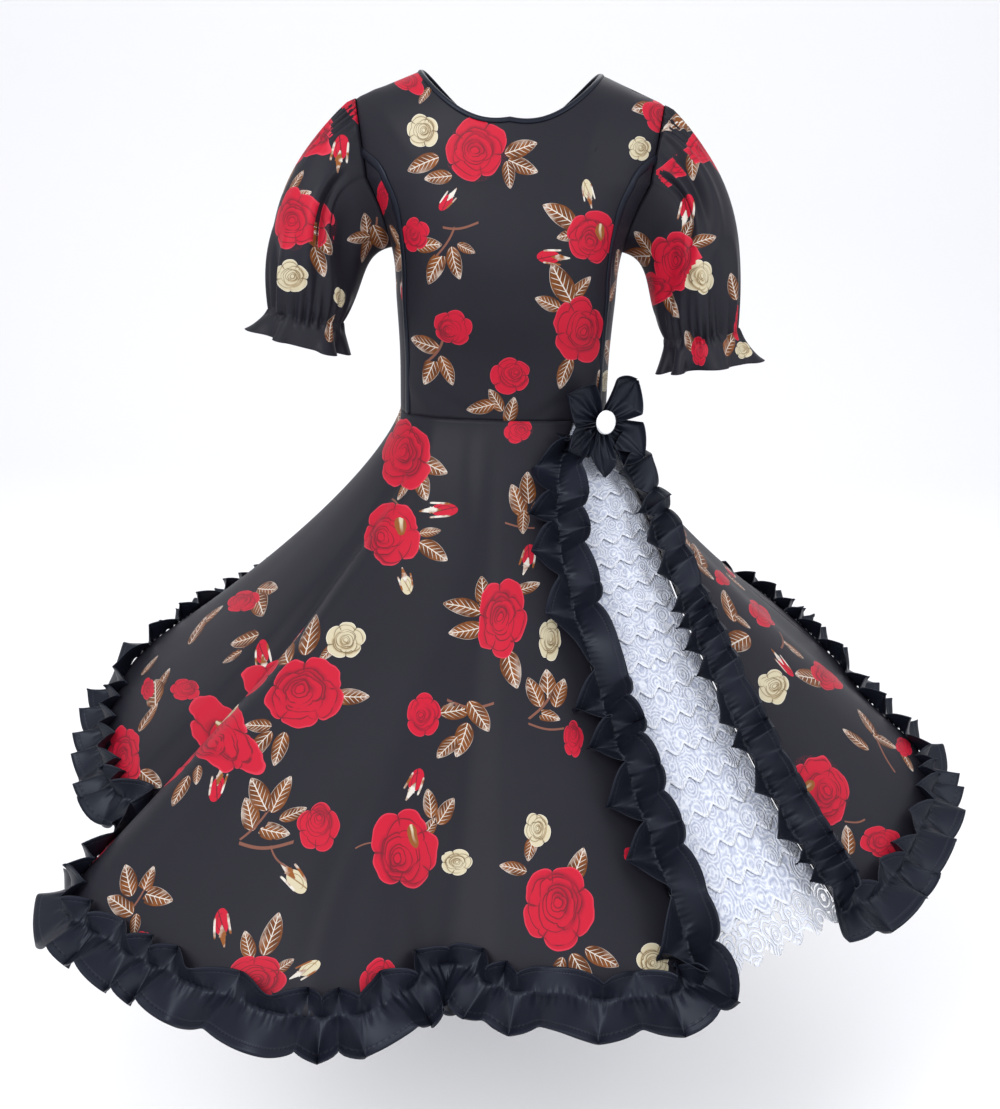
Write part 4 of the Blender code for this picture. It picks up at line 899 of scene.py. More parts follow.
def ruffle_sheet():
    """The whole ruffle as rows across and columns along, with its cloth coordinates."""
    places, base, drop, turn, corners = ruffle_path()
    by_base, by_drop, normal = skirt_frame(base, drop)
    direction = np.radians(turn)
    sideways = unit(by_base) * -1.0
    upward = unit(unit(by_drop) * -1.0 - sideways * dot(unit(by_drop) * -1.0, sideways))
    inward = unit(sideways * np.cos(direction)[:, None] + upward * np.sin(direction)[:, None])
    along = unit(np.cross(inward, normal))
    on_hem = np.sin(direction) ** 2
    grown = np.clip((drop - SLIT_TOP_DROP) / (SLIT_FULL_DROP - SLIT_TOP_DROP), 0.0, 1.0)
    slit_width = SLIT_SIDE_AT_TOP + (SLIT_SIDE - SLIT_SIDE_AT_TOP) * grown
    header = slit_width * (1 - on_hem) + HEADER * on_hem
    flange = slit_width * (1 - on_hem) + FLANGE * on_hem
    pitch = np.where(
        places < corners[0], FIRST_SIDE_PITCH + (FIRST_SIDE_PITCH_AT_HEM - FIRST_SIDE_PITCH) * drop,
        np.where(places < corners[1], HEM_PITCH, LAST_SIDE_PITCH)
    )
    phase = np.cumsum(RUFFLE_STEP / pitch)
    phase = phase + waves(PHASE_WAVES, phase)
    header_swing = soft_cap(HEADER_SWING + waves(HEADER_SWING_WAVES, phase), WIDEST_SWING)
    flange_swing = soft_cap(FLANGE_SWING + waves(FLANGE_SWING_WAVES, phase), WIDEST_SWING)
    seat = CLOTH / 2 + RUFFLE_CLOTH / 2 + SEAM_GAP
    metric = np.stack([np.sum(by_base * by_base, axis=-1), np.sum(by_base * by_drop, axis=-1),
                       np.sum(by_drop * by_drop, axis=-1)])
    determinant = metric[0] * metric[2] - metric[1] ** 2

    def on_surface(offset):
        """The surface's points and normals at an inward distance from the gathering line."""
        step = inward * offset[:, None]
        in_base = np.sum(step * by_base, axis=-1)
        in_drop = np.sum(step * by_drop, axis=-1)
        more_base = (metric[2] * in_base - metric[1] * in_drop) / determinant
        more_drop = (metric[0] * in_drop - metric[1] * in_base) / determinant
        new_base = base + more_base
        new_drop = np.clip(drop + more_drop, 0.001, 1.25)
        return skirt_surface(new_base, new_drop), skirt_frame(new_base, new_drop)[2]

    def lobed(share, width, lean, wave_phase, swing):
        """How far a row of one side lies along the line, out over the surface and above it."""
        shift, wave = curl(wave_phase, swing * share**SWING_GROWTH)
        reach = width * share
        wave = soft_cap(wave * pitch * CURL_HEIGHT, reach * WAVE_SHARE)
        run = np.sqrt(np.maximum(reach**2 - wave**2, 0.0))
        flat = run * np.cos(lean) - wave * np.sin(lean)
        rise = run * np.sin(lean) + wave * np.cos(lean)
        return shift * pitch, flat, rise

    rows = []
    cloth = []
    slit_lean = math.radians(SLIT_LEAN)
    header_lean = slit_lean * (1 - on_hem) + math.radians(HEADER_LEAN) * on_hem
    flange_lean = slit_lean * (1 - on_hem) + math.radians(FLANGE_LEAN) * on_hem
    crimp = CRIMP * np.sin(2 * math.pi * phase * 5.0 + 2.0 * np.sin(phase * 2.0))
    shares = np.linspace(1.0, 0.0, RUFFLE_ROWS + 1)
    for share in shares:
        shift, flat, rise = lobed(share, header, header_lean, phase, header_swing)
        points, out = on_surface(flat)
        rise = resting(rise, share) + seat + crimp * math.exp(-((share / CRIMP_REACH) ** 2))
        rows.append(points + out * rise[:, None] + along * shift[:, None])
        cloth.append(np.stack([places, header * share, 0 * places + 1 - share], axis=-1))
    for share in shares[::-1][1:]:
        shift, flat, rise = lobed(share, flange, flange_lean, phase + FLANGE_LAG, flange_swing)
        points, out = on_surface(-flat)
        rise = resting(rise, share) * (1 - on_hem) + rise * on_hem
        rise = rise + seat * (1 - on_hem * 0.5) + crimp * math.exp(-((share / CRIMP_REACH) ** 2))
        rows.append(points + out * rise[:, None] + along * shift[:, None])
        cloth.append(np.stack([places, -flange * share, 0 * places + 1 - share], axis=-1))
    return np.stack(rows), np.stack(cloth), base, drop, corners, places


def build_ruffles(materials):
    """The double-edged ruffle round the hem and both edges of the slit, in four lengths."""
    points, cloth, base, drop, corners, places = ruffle_sheet()
    normals = outward(points)
    on_hem = (places >= corners[0]) & (places <= corners[1])
    for row in RUFFLES:
        start = 0
        end = len(places)
        if row.start is not None:
            start = int(np.argmax(on_hem & (base <= row.start)))
        if row.end is not None:
            end = int(np.argmax(on_hem & (base <= row.end))) + 1
        span = slice(start, end)
        piece = shell(
            row.name, points[:, span], normals[:, span], RUFFLE_CLOTH, materials, cloth=cloth[:, span]
        )
        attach(piece, "dress")
        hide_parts(*row.nodes)


# Lace

LACE_TIERS = 20
LACE_LENGTH = 0.64
LACE_STEP_DEPTH = 0.010
LACE_COLUMNS = 120
LACE_TIER_ROWS = 11
LACE_EDGE = 0.12
LACE_SEAT = 0.0034
LACE_ROOT = 0.0007
LACE_STANDOFF = 0.0030
LACE_WAVE = 0.0016
LACE_HOLLOW = 0.008
TIER_LENGTH = 0.98
SCALLOP_DEPTH = 0.30
TIER_OVERLAP = 0.10
TIER_SHIFT = 0.37


def build_lace(materials, last_materials):
    """The lace in the slit: tiers that hang over each other, each with a scalloped lower edge."""
    shares = np.linspace(0.0, 1.0, LACE_COLUMNS)
    piece_rows = []
    for tier in range(LACE_TIERS):
        rows = []
        marks = []
        for step in np.linspace(0.0, 1.0, LACE_TIER_ROWS):
            spread = 0.30 + 0.70 * tier / LACE_TIERS
            scallops = 3.0 + 4.0 * spread
            turn = math.pi * (shares * scallops + TIER_SHIFT * tier)
            reach = (TIER_LENGTH + SCALLOP_DEPTH * np.abs(np.sin(turn))) * step
            drop = np.clip((tier + reach - TIER_OVERLAP) / LACE_TIERS, 0.002, 1.06)
            left, right = slit_bearings(np.clip(drop, 0.0, 1.0))
            angle = right + (left - right) * shares
            points = skirt_point(angle, drop)
            out = unit(points * np.array([1.0, 1.0, 0.0]) + np.array([0.0, 0.0, 0.15]))
            hollow = np.sin(math.pi * shares) * drop * LACE_HOLLOW
            wave = LACE_WAVE * np.sin(2 * turn) * step
            inset = np.clip(np.minimum(shares, 1.0 - shares) / LACE_EDGE, 0.0, 1.0) ** 0.7
            lift = (LACE_ROOT + LACE_STANDOFF * step**1.5 + wave) * inset - hollow - LACE_SEAT
            rows.append(points + out * lift[:, None])
            wide = np.linalg.norm(points[-1] - points[0])
            depth = 0 * shares + step * LACE_STEP_DEPTH
            marks.append(np.stack([shares * wide, drop * LACE_LENGTH, depth], axis=-1))
        piece_rows.append((np.stack(rows), np.stack(marks)))
    for name, chosen, mats in (
        ("lace_tiers", piece_rows[:-1], materials),
        ("lace_last_tier", piece_rows[-1:], last_materials),
    ):
        parts = []
        for index, (points, marks) in enumerate(chosen):
            tier_name = "%s_%d" % (name, index)
            parts.append(shell(tier_name, points, outward(points), LACE_CLOTH, mats, cloth=marks))
        piece = join(parts, name)
        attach(piece, "dress")
        if name == "lace_tiers":
            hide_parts("lace_insert")


def join(parts, name):
    """Several objects' meshes in one object."""
    with bpy.context.temp_override(active_object=parts[0], selected_editable_objects=parts):
        bpy.ops.object.join()
    parts[0].name = name
    parts[0].data.name = name
    return parts[0]


# Flower

FLOWER_X = 0.118
FLOWER_Y = -0.060
FLOWER_Z = -0.418
FLOWER_BEARING = 37.0
FLOWER_TILT = 8.0
FLOWER_STANDOFF = 0.017
PetalRow = namedtuple("PetalRow", "name clock half_angle reach lift roll tip_turn")
PETALS = (
    PetalRow("petal_1", 54.0, 38.0, 0.073, 8.0, 0.016, -6.0),
    PetalRow("petal_2", 127.0, 36.0, 0.074, 17.0, 0.014, 8.0),
    PetalRow("petal_3", 197.0, 29.0, 0.070, 21.0, 0.010, 0.0),
    PetalRow("petal_4", 247.0, 27.0, 0.078, 16.0, 0.012, 6.0),
    PetalRow("petal_5", 303.0, 36.0, 0.073, 3.0, 0.016, 4.0),
)
PETAL_HOLE = 0.0046
PETAL_WIDEST = 0.62
PETAL_TIP = 0.03
PLEAT = 0.0030
PLEAT_REACH = 0.60
PETAL_RIDGE = 0.0028
PETAL_ROWS = 44
PETAL_COLUMNS = 44
BUTTON_RADIUS = 0.0158
BUTTON_HEIGHT = 0.0078
BUTTON_SHANK = 0.0040
BUTTON_SEAT = 0.0039
BUTTON_BACK = 0.0085
BUTTON_RIM = 0.0011
BUTTON_DOME_START = 0.0030
BUTTON_TURNS = 64


def flower_frame():
    """The flower's centre on the waist, and its outward, sideways and upward directions."""
    turn = math.radians(FLOWER_BEARING)
    tilt = math.radians(FLOWER_TILT)
    flat = np.array([math.sin(turn), -math.cos(turn), 0.0])
    out = unit(flat * math.cos(tilt) + np.array([0.0, 0.0, math.sin(tilt)]))
    side = np.array([math.cos(turn), math.sin(turn), 0.0])
    up = np.cross(side, out) * -1.0
    if up[2] < 0:
        up = -up
    return np.array([FLOWER_X, FLOWER_Y, FLOWER_Z]), out, side, up


def build_petals(materials):
    """Five petals: strips whose two halves fold to a point and whose edges roll up towards the button."""
    centre, out, side, up = flower_frame()
    base = centre + out * FLOWER_STANDOFF
    for petal in PETALS:
        clock = math.radians(petal.clock)
        middle = side * math.sin(clock) + up * math.cos(clock)
        across = side * math.cos(clock) - up * math.sin(clock)
        slope = math.tan(math.radians(petal.lift))
        t = np.linspace(0.0, 1.0, PETAL_ROWS)[:, None]
        c = np.linspace(-1.0, 1.0, PETAL_COLUMNS)[None, :]
        reach = PETAL_HOLE + (petal.reach - PETAL_HOLE) * t
        taper = np.minimum(1.0, np.maximum(PETAL_TIP, (1.0 - t) / (1.0 - PETAL_WIDEST)))
        grown = PETAL_HOLE + (petal.reach - PETAL_HOLE) * t**0.85
        half = np.tan(math.radians(petal.half_angle)) * grown * taper
        fading = np.exp(-((t / PLEAT_REACH) ** 2)) * np.clip(t * 8.0, 0.0, 1.0)
        pleats = PLEAT * np.cos(4 * math.pi * c) * fading
        cup = petal.roll * np.abs(c) ** 2.2 * np.sin(math.pi * np.clip(t * 0.92, 0.0, 1.0)) ** 0.8
        ridge = PETAL_RIDGE * np.exp(-((c / 0.22) ** 2)) * np.clip((t - 0.35) / 0.5, 0.0, 1.0)
        droop = slope * (reach - PETAL_HOLE) * t
        bend = np.tan(math.radians(petal.tip_turn)) * reach * t
        pull = 1.0 - 0.16 * np.abs(c) ** 3 * np.sin(math.pi * t)
        rise = droop + cup + ridge + pleats
        points = (
            base
            + middle * (reach + 0 * c)[..., None]
            + across * (half * c * pull + bend)[..., None]
            + out * rise[..., None]
        )
        normals = grid_normals(points)
        if np.sum(normals * out) < 0:
            normals = -normals
        piece = shell(petal.name + "_cloth", points, normals, CLOTH, materials)
        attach(piece, "dress")
        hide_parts(petal.name)


def build_button(material):
    """A domed button with a soft rim, on a shank that stands on the waist seam."""
    centre, out, side, up = flower_frame()
    top = FLOWER_STANDOFF + BUTTON_BACK
    profile = [(BUTTON_SEAT, 0.0), (BUTTON_SEAT, BUTTON_SHANK), (top - 0.0004, BUTTON_SHANK)]
    profile += [(top, BUTTON_SHANK + 0.0005), (top, BUTTON_RADIUS * 0.90)]
    for angle in np.radians(np.linspace(-60.0, 60.0, 7)):
        height = top + BUTTON_RIM * (1 + math.sin(angle))
        profile.append((height, BUTTON_RADIUS - BUTTON_RIM * (1 - math.cos(angle))))
    dome = BUTTON_HEIGHT - BUTTON_DOME_START
    for angle in np.radians(np.linspace(12.0, 90.0, 14)):
        height = top + BUTTON_DOME_START + dome * math.sin(angle)
        profile.append((height, BUTTON_RADIUS * 0.985 * math.cos(angle)))
    turns = BUTTON_TURNS
    vertices = []
    faces = []
    for height, radius in profile:
        for turn in range(turns):
            angle = 2 * math.pi * turn / turns
            ring = side * math.cos(angle) + up * math.sin(angle)
            vertices.append(centre + out * height + ring * max(radius, 0.00002))
    for ring in range(len(profile) - 1):
        for turn in range(turns):
            after = (turn + 1) % turns
            faces.append((ring * turns + turn, ring * turns + after,
                          (ring + 1) * turns + after, (ring + 1) * turns + turn))
    faces.append(tuple(range(turns - 1, -1, -1)))
    last = (len(profile) - 1) * turns
    faces.append(tuple(range(last, last + turns)))
    mesh = bpy.data.meshes.new("flower_button_dome")
    mesh.from_pydata([tuple(vertex) for vertex in vertices], [], faces)
    mesh.polygons.foreach_set("use_smooth", np.ones(len(mesh.polygons), bool))
    mesh.materials.append(material)
    mesh.update()
    piece = bpy.data.objects.new("flower_button_dome", mesh)
    bpy.context.scene.collection.objects.link(piece)
    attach(piece, "dress")
    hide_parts("flower_button")


# Zip

TAPE_HALF_WIDTH = 0.011
TAPE_CLOTH = 0.0008
TAPE_DEPTH = 0.0019
TAPE_CURVE = 0.0006
TAPE_RIDGE = 0.0006


def build_zip_tape(materials):
    """The zip's woven tape behind the centre-back seam, with its raised middle."""
    levels = np.linspace(0.0, BACK_NECK_LEVEL, 90)
    bodice = bodice_point(1, 0 * levels, levels)
    bodice_out = bodice_normal(1, 0 * levels, levels)
    drops = np.linspace(0.22, 0.01, 24)
    skirt = skirt_surface(180.0 + 0 * drops, drops)
    skirt_out = skirt_frame(180.0 + 0 * drops, drops)[2]
    line = np.concatenate([skirt, bodice])
    out = np.concatenate([skirt_out, bodice_out])
    side = np.array([1.0, 0.0, 0.0])
    columns = []
    for share in np.linspace(-1.0, 1.0, 15):
        ridge = TAPE_RIDGE * math.exp(-((share / 0.16) ** 2))
        depth = TAPE_DEPTH + TAPE_CURVE * share**2 + ridge
        columns.append(line + side * TAPE_HALF_WIDTH * share - out * depth)
    points = np.stack(columns, axis=1)
    piece = shell("zip_tape_cloth", points, outward(points), TAPE_CLOTH, materials)
    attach(piece, "dress")
    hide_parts("zip_tape")


# Print: roses, buds, leaves and stems in loose sprays. Places and sizes are pixels of the photograph, and
# angles run anticlockwise from its right, from a motif's base to its tip. Each lies on its panel only.

KIND_NAMES = ("rose", "open_rose", "side_rose", "cream_rose", "bud", "cream_bud", "leaf", "stem")
KINDS = {name: number for number, name in enumerate(KIND_NAMES, 1)}
Motif = namedtuple("Motif", "kind x y width height angle")


def rose_maker(kind):
    """A short call for one kind of rose, which has a width, a height and perhaps a turn."""
    return lambda x, y, width, height, turn=0: Motif(kind, x, y, width, height, turn)


def spray_maker(kind):
    """A short call for one kind of leaf, bud or stem, which has a length and an angle."""
    return lambda x, y, length, angle: Motif(kind, x, y, length, 0, angle)


rose, open_rose, side_rose, cream = (rose_maker(kind) for kind in KIND_NAMES[:4])
bud, cream_bud, leaf, stem = (spray_maker(kind) for kind in KIND_NAMES[4:])
PRINT = {
    "bodice_front_centre": (
        rose(477, 150, 64, 66), cream(422, 130, 34, 34, 30), leaf(425, 95, 20, 240),
        side_rose(405, 78, 34, 16, 200), leaf(424, 164, 34, 200), leaf(440, 176, 28, 190),
        bud(448, 199, 30, 235), leaf(522, 148, 34, 15), leaf(524, 166, 32, 340), leaf(506, 176, 28, 280),
        cream_bud(588, 192, 32, 100), open_rose(593, 240, 50, 58), bud(553, 256, 36, 180),
        leaf(560, 216, 40, 150), leaf(568, 234, 24, 190), leaf(562, 283, 44, 115), leaf(582, 290, 34, 50),
        leaf(548, 302, 28, 160), rose(582, 330, 54, 68, 40), leaf(566, 372, 34, 250),
        side_rose(416, 236, 28, 36, 90), leaf(429, 246, 26, 5), leaf(434, 268, 34, 245),
        leaf(456, 264, 34, 285), leaf(466, 248, 20, 330), stem(460, 228, 36, 5), stem(446, 243, 34, 60),
        side_rose(455, 328, 40, 36, 180), leaf(424, 344, 30, 165), leaf(430, 370, 34, 250),
        leaf(446, 372, 32, 290), stem(437, 350, 36, 60), side_rose(511, 376, 40, 38, 20),
        leaf(480, 408, 30, 190), leaf(496, 400, 26, 125), leaf(510, 411, 28, 80),
        side_rose(666, 119, 24, 38, 90), leaf(646, 109, 28, 180), cream(640, 147, 24, 24),
        leaf(600, 381, 24, 100),
    ),
    "bodice_side_front_right": (
        side_rose(382, 200, 12, 36, 20), leaf(396, 236, 26, 300), leaf(398, 260, 24, 250),
        bud(402, 290, 26, 270),
    ),
    "bodice_side_front_left": (
        leaf(618, 264, 26, 90), leaf(614, 290, 24, 70), leaf(609, 352, 26, 100), cream(606, 381, 14, 22),
    ),
    "skirt_front_right": (
        side_rose(518, 433, 28, 26, 10), rose(401, 452, 54, 74, 20), leaf(432, 465, 32, 340),
        leaf(422, 486, 30, 290), leaf(403, 490, 24, 240), leaf(385, 405, 34, 255), bud(440, 510, 42, 5),
        open_rose(391, 536, 64, 68), leaf(430, 534, 22, 10), leaf(433, 550, 34, 330),
        cream_bud(405, 583, 30, 280), stem(398, 505, 22, 120), leaf(517, 499, 34, 112),
        leaf(528, 486, 32, 90), leaf(540, 505, 22, 40), leaf(524, 522, 24, 270), stem(520, 528, 30, 350),
        bud(527, 560, 34, 75), leaf(528, 586, 26, 20), rose(503, 620, 54, 80, 60), leaf(462, 606, 40, 165),
        leaf(466, 630, 36, 190), leaf(484, 592, 32, 100), leaf(513, 670, 40, 285),
        cream(550, 640, 24, 42, 30), leaf(534, 692, 32, 110), leaf(548, 686, 36, 95),
        leaf(559, 692, 30, 75), leaf(548, 716, 28, 340), stem(545, 728, 36, 355), stem(543, 706, 40, 55),
        side_rose(424, 716, 36, 44, 150), leaf(456, 708, 34, 10), leaf(478, 716, 36, 300),
        leaf(462, 740, 36, 250), leaf(448, 748, 28, 230), stem(470, 706, 46, 355),
        rose(303, 694, 82, 74, 80), cream(347, 640, 40, 40, 0), leaf(328, 654, 26, 225),
        leaf(309, 633, 46, 75), leaf(286, 650, 36, 80), bud(263, 656, 38, 100), leaf(350, 698, 36, 0),
        leaf(258, 724, 28, 180), leaf(258, 747, 44, 228), leaf(280, 750, 36, 250), leaf(243, 640, 30, 200),
        open_rose(213, 730, 58, 80, 50), bud(218, 782, 40, 260), leaf(180, 790, 34, 245),
        leaf(197, 776, 20, 260), leaf(250, 813, 34, 105), leaf(259, 795, 36, 120), leaf(282, 792, 42, 60),
        leaf(274, 831, 34, 350), leaf(292, 814, 30, 25), stem(256, 826, 44, 45), stem(266, 846, 62, 0),
        side_rose(316, 828, 42, 52, 70), cream_bud(294, 875, 42, 310), stem(278, 856, 26, 310),
        bud(414, 784, 38, 65), leaf(430, 803, 30, 95), leaf(446, 812, 30, 55),
        open_rose(409, 852, 68, 90, 20), stem(366, 842, 24, 200), cream(458, 861, 34, 26, 60),
        leaf(430, 828, 24, 60), bud(222, 928, 42, 95), leaf(249, 942, 30, 100), leaf(270, 932, 46, 70),
        rose(255, 977, 64, 48), leaf(284, 969, 24, 30), cream_bud(305, 972, 38, 30),
        side_rose(379, 980, 38, 54, 90), leaf(405, 980, 30, 110), leaf(430, 969, 36, 70),
        leaf(416, 1000, 30, 320), rose(555, 908, 72, 94, 10), leaf(578, 862, 38, 70),
        leaf(513, 870, 28, 170), leaf(600, 955, 38, 330), leaf(580, 975, 42, 295), leaf(556, 968, 28, 250),
        cream(537, 830, 28, 34, 100), leaf(530, 852, 26, 260), cream(652, 962, 34, 36, 40),
        side_rose(572, 738, 20, 40, 60), side_rose(629, 855, 12, 16), rose(122, 757, 36, 62, 20),
        leaf(154, 692, 34, 95), leaf(164, 680, 30, 60), leaf(148, 664, 26, 50),
        side_rose(182, 690, 34, 22, 40), side_rose(148, 690, 14, 30), leaf(150, 716, 34, 60),
        rose(242, 600, 44, 24, 30), leaf(268, 588, 20, 0), leaf(258, 605, 26, 290), leaf(208, 616, 36, 40),
        leaf(196, 630, 32, 60), leaf(130, 748, 26, 60), leaf(234, 656, 22, 210), leaf(152, 780, 28, 320),
        leaf(128, 879, 32, 105), leaf(148, 880, 34, 70), leaf(118, 906, 30, 150), leaf(154, 900, 34, 350),
        leaf(134, 926, 24, 260), stem(135, 905, 40, 50), side_rose(140, 942, 20, 18),
        stem(248, 640, 22, 60),
    ),
    "skirt_front_left": (
        open_rose(822, 792, 64, 78, 130), stem(858, 823, 20, 10), leaf(868, 722, 34, 125),
        leaf(858, 740, 34, 140), leaf(886, 742, 28, 330), side_rose(903, 745, 18, 26, 120),
        leaf(906, 762, 24, 300), stem(884, 754, 40, 300), leaf(832, 856, 34, 20), leaf(848, 838, 30, 95),
        rose(882, 842, 42, 32), leaf(844, 876, 28, 10), rose(765, 608, 32, 50, 50), leaf(737, 642, 34, 215),
        leaf(731, 606, 32, 105), leaf(741, 620, 22, 320), bud(783, 663, 38, 310),
        cream(774, 685, 34, 34, 40), rose(830, 674, 44, 34, 20), leaf(809, 676, 28, 170),
        leaf(795, 649, 28, 140), leaf(690, 544, 32, 120), leaf(700, 552, 34, 110), leaf(703, 570, 26, 315),
        stem(689, 530, 24, 60), side_rose(648, 437, 18, 44, 40), leaf(656, 470, 28, 100),
        leaf(672, 478, 24, 300), bud(735, 566, 40, 300), side_rose(726, 575, 20, 22),
        leaf(741, 578, 24, 320), stem(783, 640, 18, 100),
    ),
    "sleeve_right": (
        rose(292, 221, 48, 66), cream(291, 274, 38, 34, 20), leaf(296, 182, 28, 60),
        leaf(321, 238, 36, 300), leaf(319, 262, 32, 285), leaf(300, 196, 24, 20), bud(340, 152, 42, 85),
        leaf(328, 124, 28, 75), leaf(366, 226, 26, 100), leaf(358, 238, 24, 190), leaf(366, 249, 28, 250),
        leaf(380, 240, 24, 290), stem(372, 232, 30, 70), cream(340, 299, 12, 20), leaf(329, 330, 22, 90),
        side_rose(346, 97, 20, 14),
    ),
    "sleeve_left": (
        rose(709, 145, 28, 38, 30), leaf(690, 121, 26, 150), leaf(692, 166, 30, 275), bud(686, 212, 34, 80),
        leaf(687, 231, 26, 60), leaf(703, 240, 28, 20), rose(674, 262, 40, 62, 70),
        cream(704, 278, 24, 38, 10), leaf(645, 242, 30, 130), leaf(636, 258, 28, 190),
        leaf(671, 303, 30, 290), rose(645, 292, 22, 36, 30), leaf(733, 285, 28, 100),
        side_rose(736, 322, 14, 34, 20), side_rose(699, 353, 18, 30), leaf(730, 344, 24, 60),
        cream(742, 350, 16, 18), leaf(690, 340, 22, 110),
    ),
}
UnseenRow = namedtuple("UnseenRow", "kind across down width height angle")
SPRAYS = (
    (
        UnseenRow("rose", 0, 0, 68, 64, 0), UnseenRow("leaf", 48, 4, 36, 0, 5),
        UnseenRow("leaf", 40, -22, 34, 0, -35), UnseenRow("leaf", 12, -48, 38, 0, -80),
        UnseenRow("bud", -42, -30, 42, 0, 215),
        UnseenRow("cream_rose", 32, 46, 38, 36, 0), UnseenRow("leaf", 0, 50, 42, 0, 95),
    ),
    (
        UnseenRow("side_rose", 0, 0, 42, 46, 90), UnseenRow("stem", -32, -16, 60, 0, 20),
        UnseenRow("leaf", -46, 14, 38, 0, 110), UnseenRow("leaf", -30, 20, 36, 0, 60),
        UnseenRow("leaf", -60, -12, 34, 0, 190), UnseenRow("leaf", -36, -38, 34, 0, 275),
    ),
    (
        UnseenRow("open_rose", 0, 0, 66, 74, 30), UnseenRow("bud", 46, 26, 42, 0, 30),
        UnseenRow("leaf", 44, -14, 36, 0, -20), UnseenRow("leaf", 24, -44, 34, 0, -60),
        UnseenRow("cream_bud", -18, -54, 38, 0, 250), UnseenRow("leaf", -34, 40, 34, 0, 130),
    ),
)
SPRAY_SPACING = 0.118
SPRAY_TRIES = 420
PIXEL_LENGTH = 0.00118
FACING_CAMERA = 0.10
LONGEST_STRETCH = 2.6
LONGEST_HALF = 0.032
GOLDEN = 0.6180339887
SPRAY_TURN = 2.4
NEAREST_CLOTH = 0.02
PUFF_SHARE = 0.60
Placed = namedtuple("Placed", "kind centre axes normal reach")


def tangents(normal):
    """Two unit directions along a surface: roughly sideways and up."""
    side = unit(np.cross((0.0, 0.0, 1.0), normal))
    return side, np.cross(normal, side)


def place_seen(motif, points, normals):
    """Lays a motif on the visible point of a panel that falls on its pixel."""
    seen = project(points)
    camera = np.array([0.0, CAMERA_Y, CAMERA_Z])
    away = np.hypot(seen[:, 0] - motif.x, seen[:, 1] - motif.y)
    facing = np.sum(normals * unit(camera - points), axis=1) > 0.03
    near = np.flatnonzero((away < max(9.0, away[facing].min() + 1.0)) & facing)
    distance = np.linalg.norm(points[near] - camera, axis=1)
    close = near[distance < distance.min() + 0.03]
    spot = close[np.argmin(away[close])]
    centre = points[spot]
    normal = normals[spot]
    side, up = tangents(normal)
    small = 0.002
    here = project(centre)
    travel = np.stack([(project(centre + step * small) - here) / small for step in (side, up)])
    if motif.height:
        turn = math.radians(motif.angle)
        pixels = travel * np.array([2.0 / motif.width, -2.0 / motif.height])
        turned = pixels @ np.array([[math.cos(turn), -math.sin(turn)], [math.sin(turn), math.cos(turn)]])
        before, scales, after = np.linalg.svd(turned.T)
        scales = np.maximum(scales, scales[0] / LONGEST_STRETCH)
        axes = before @ np.diag(scales) @ after @ np.stack([side, up])
        return Placed(motif.kind, centre, axes, normal, 1.35 / scales[1])
    angle = math.radians(motif.angle)
    step = np.linalg.solve(travel.T, np.array([math.cos(angle), -math.sin(angle)]))
    half = min(np.linalg.norm(step) * motif.width / 2, LONGEST_HALF)
    along = unit(side * step[0] + up * step[1])
    axes = np.stack([along, np.cross(normal, along)]) / half
    return Placed(motif.kind, centre, axes, normal, half * 1.7)


def place_unseen(points, normals, taken, share):
    """Sprays on the parts that turn away from the camera, among the first share of a panel's points."""
    camera = np.array([0.0, CAMERA_Y, CAMERA_Z])
    facing = np.sum(normals * unit(camera - points), axis=1)
    hidden = np.flatnonzero(facing < -FACING_CAMERA)
    hidden = hidden[hidden < len(points) * share]
    placed = []
    if not len(hidden):
        return placed
    for attempt in range(SPRAY_TRIES):
        spot = hidden[int(len(hidden) * ((attempt * GOLDEN) % 1.0))]
        centre = points[spot]
        if any(np.linalg.norm(centre - other) < SPRAY_SPACING for other in taken):
            continue
        taken.append(centre)
        normal = normals[spot]
        side, up = tangents(normal)
        turn = len(taken) * SPRAY_TURN
        first = side * math.cos(turn) + up * math.sin(turn)
        second = np.cross(normal, first)
        for row in SPRAYS[len(taken) % len(SPRAYS)]:
            wanted = centre + (first * row.across + second * row.down) * PIXEL_LENGTH
            nearest = int(np.argmin(np.linalg.norm(points - wanted, axis=1)))
            if np.linalg.norm(points[nearest] - wanted) > NEAREST_CLOTH or facing[nearest] > FACING_CAMERA:
                continue
            angle = math.radians(row.angle)
            along = first * math.cos(angle) + second * math.sin(angle)
            along = unit(along - normals[nearest] * np.dot(along, normals[nearest]))
            across = np.cross(normals[nearest], along)
            tall = row.height or row.width
            axes = np.stack([along * 2 / row.width, across * 2 / tall]) / PIXEL_LENGTH
            reach = max(row.width, tall) * PIXEL_LENGTH * 0.85
            placed.append(Placed(row.kind, points[nearest], axes, normals[nearest], reach))
    return placed


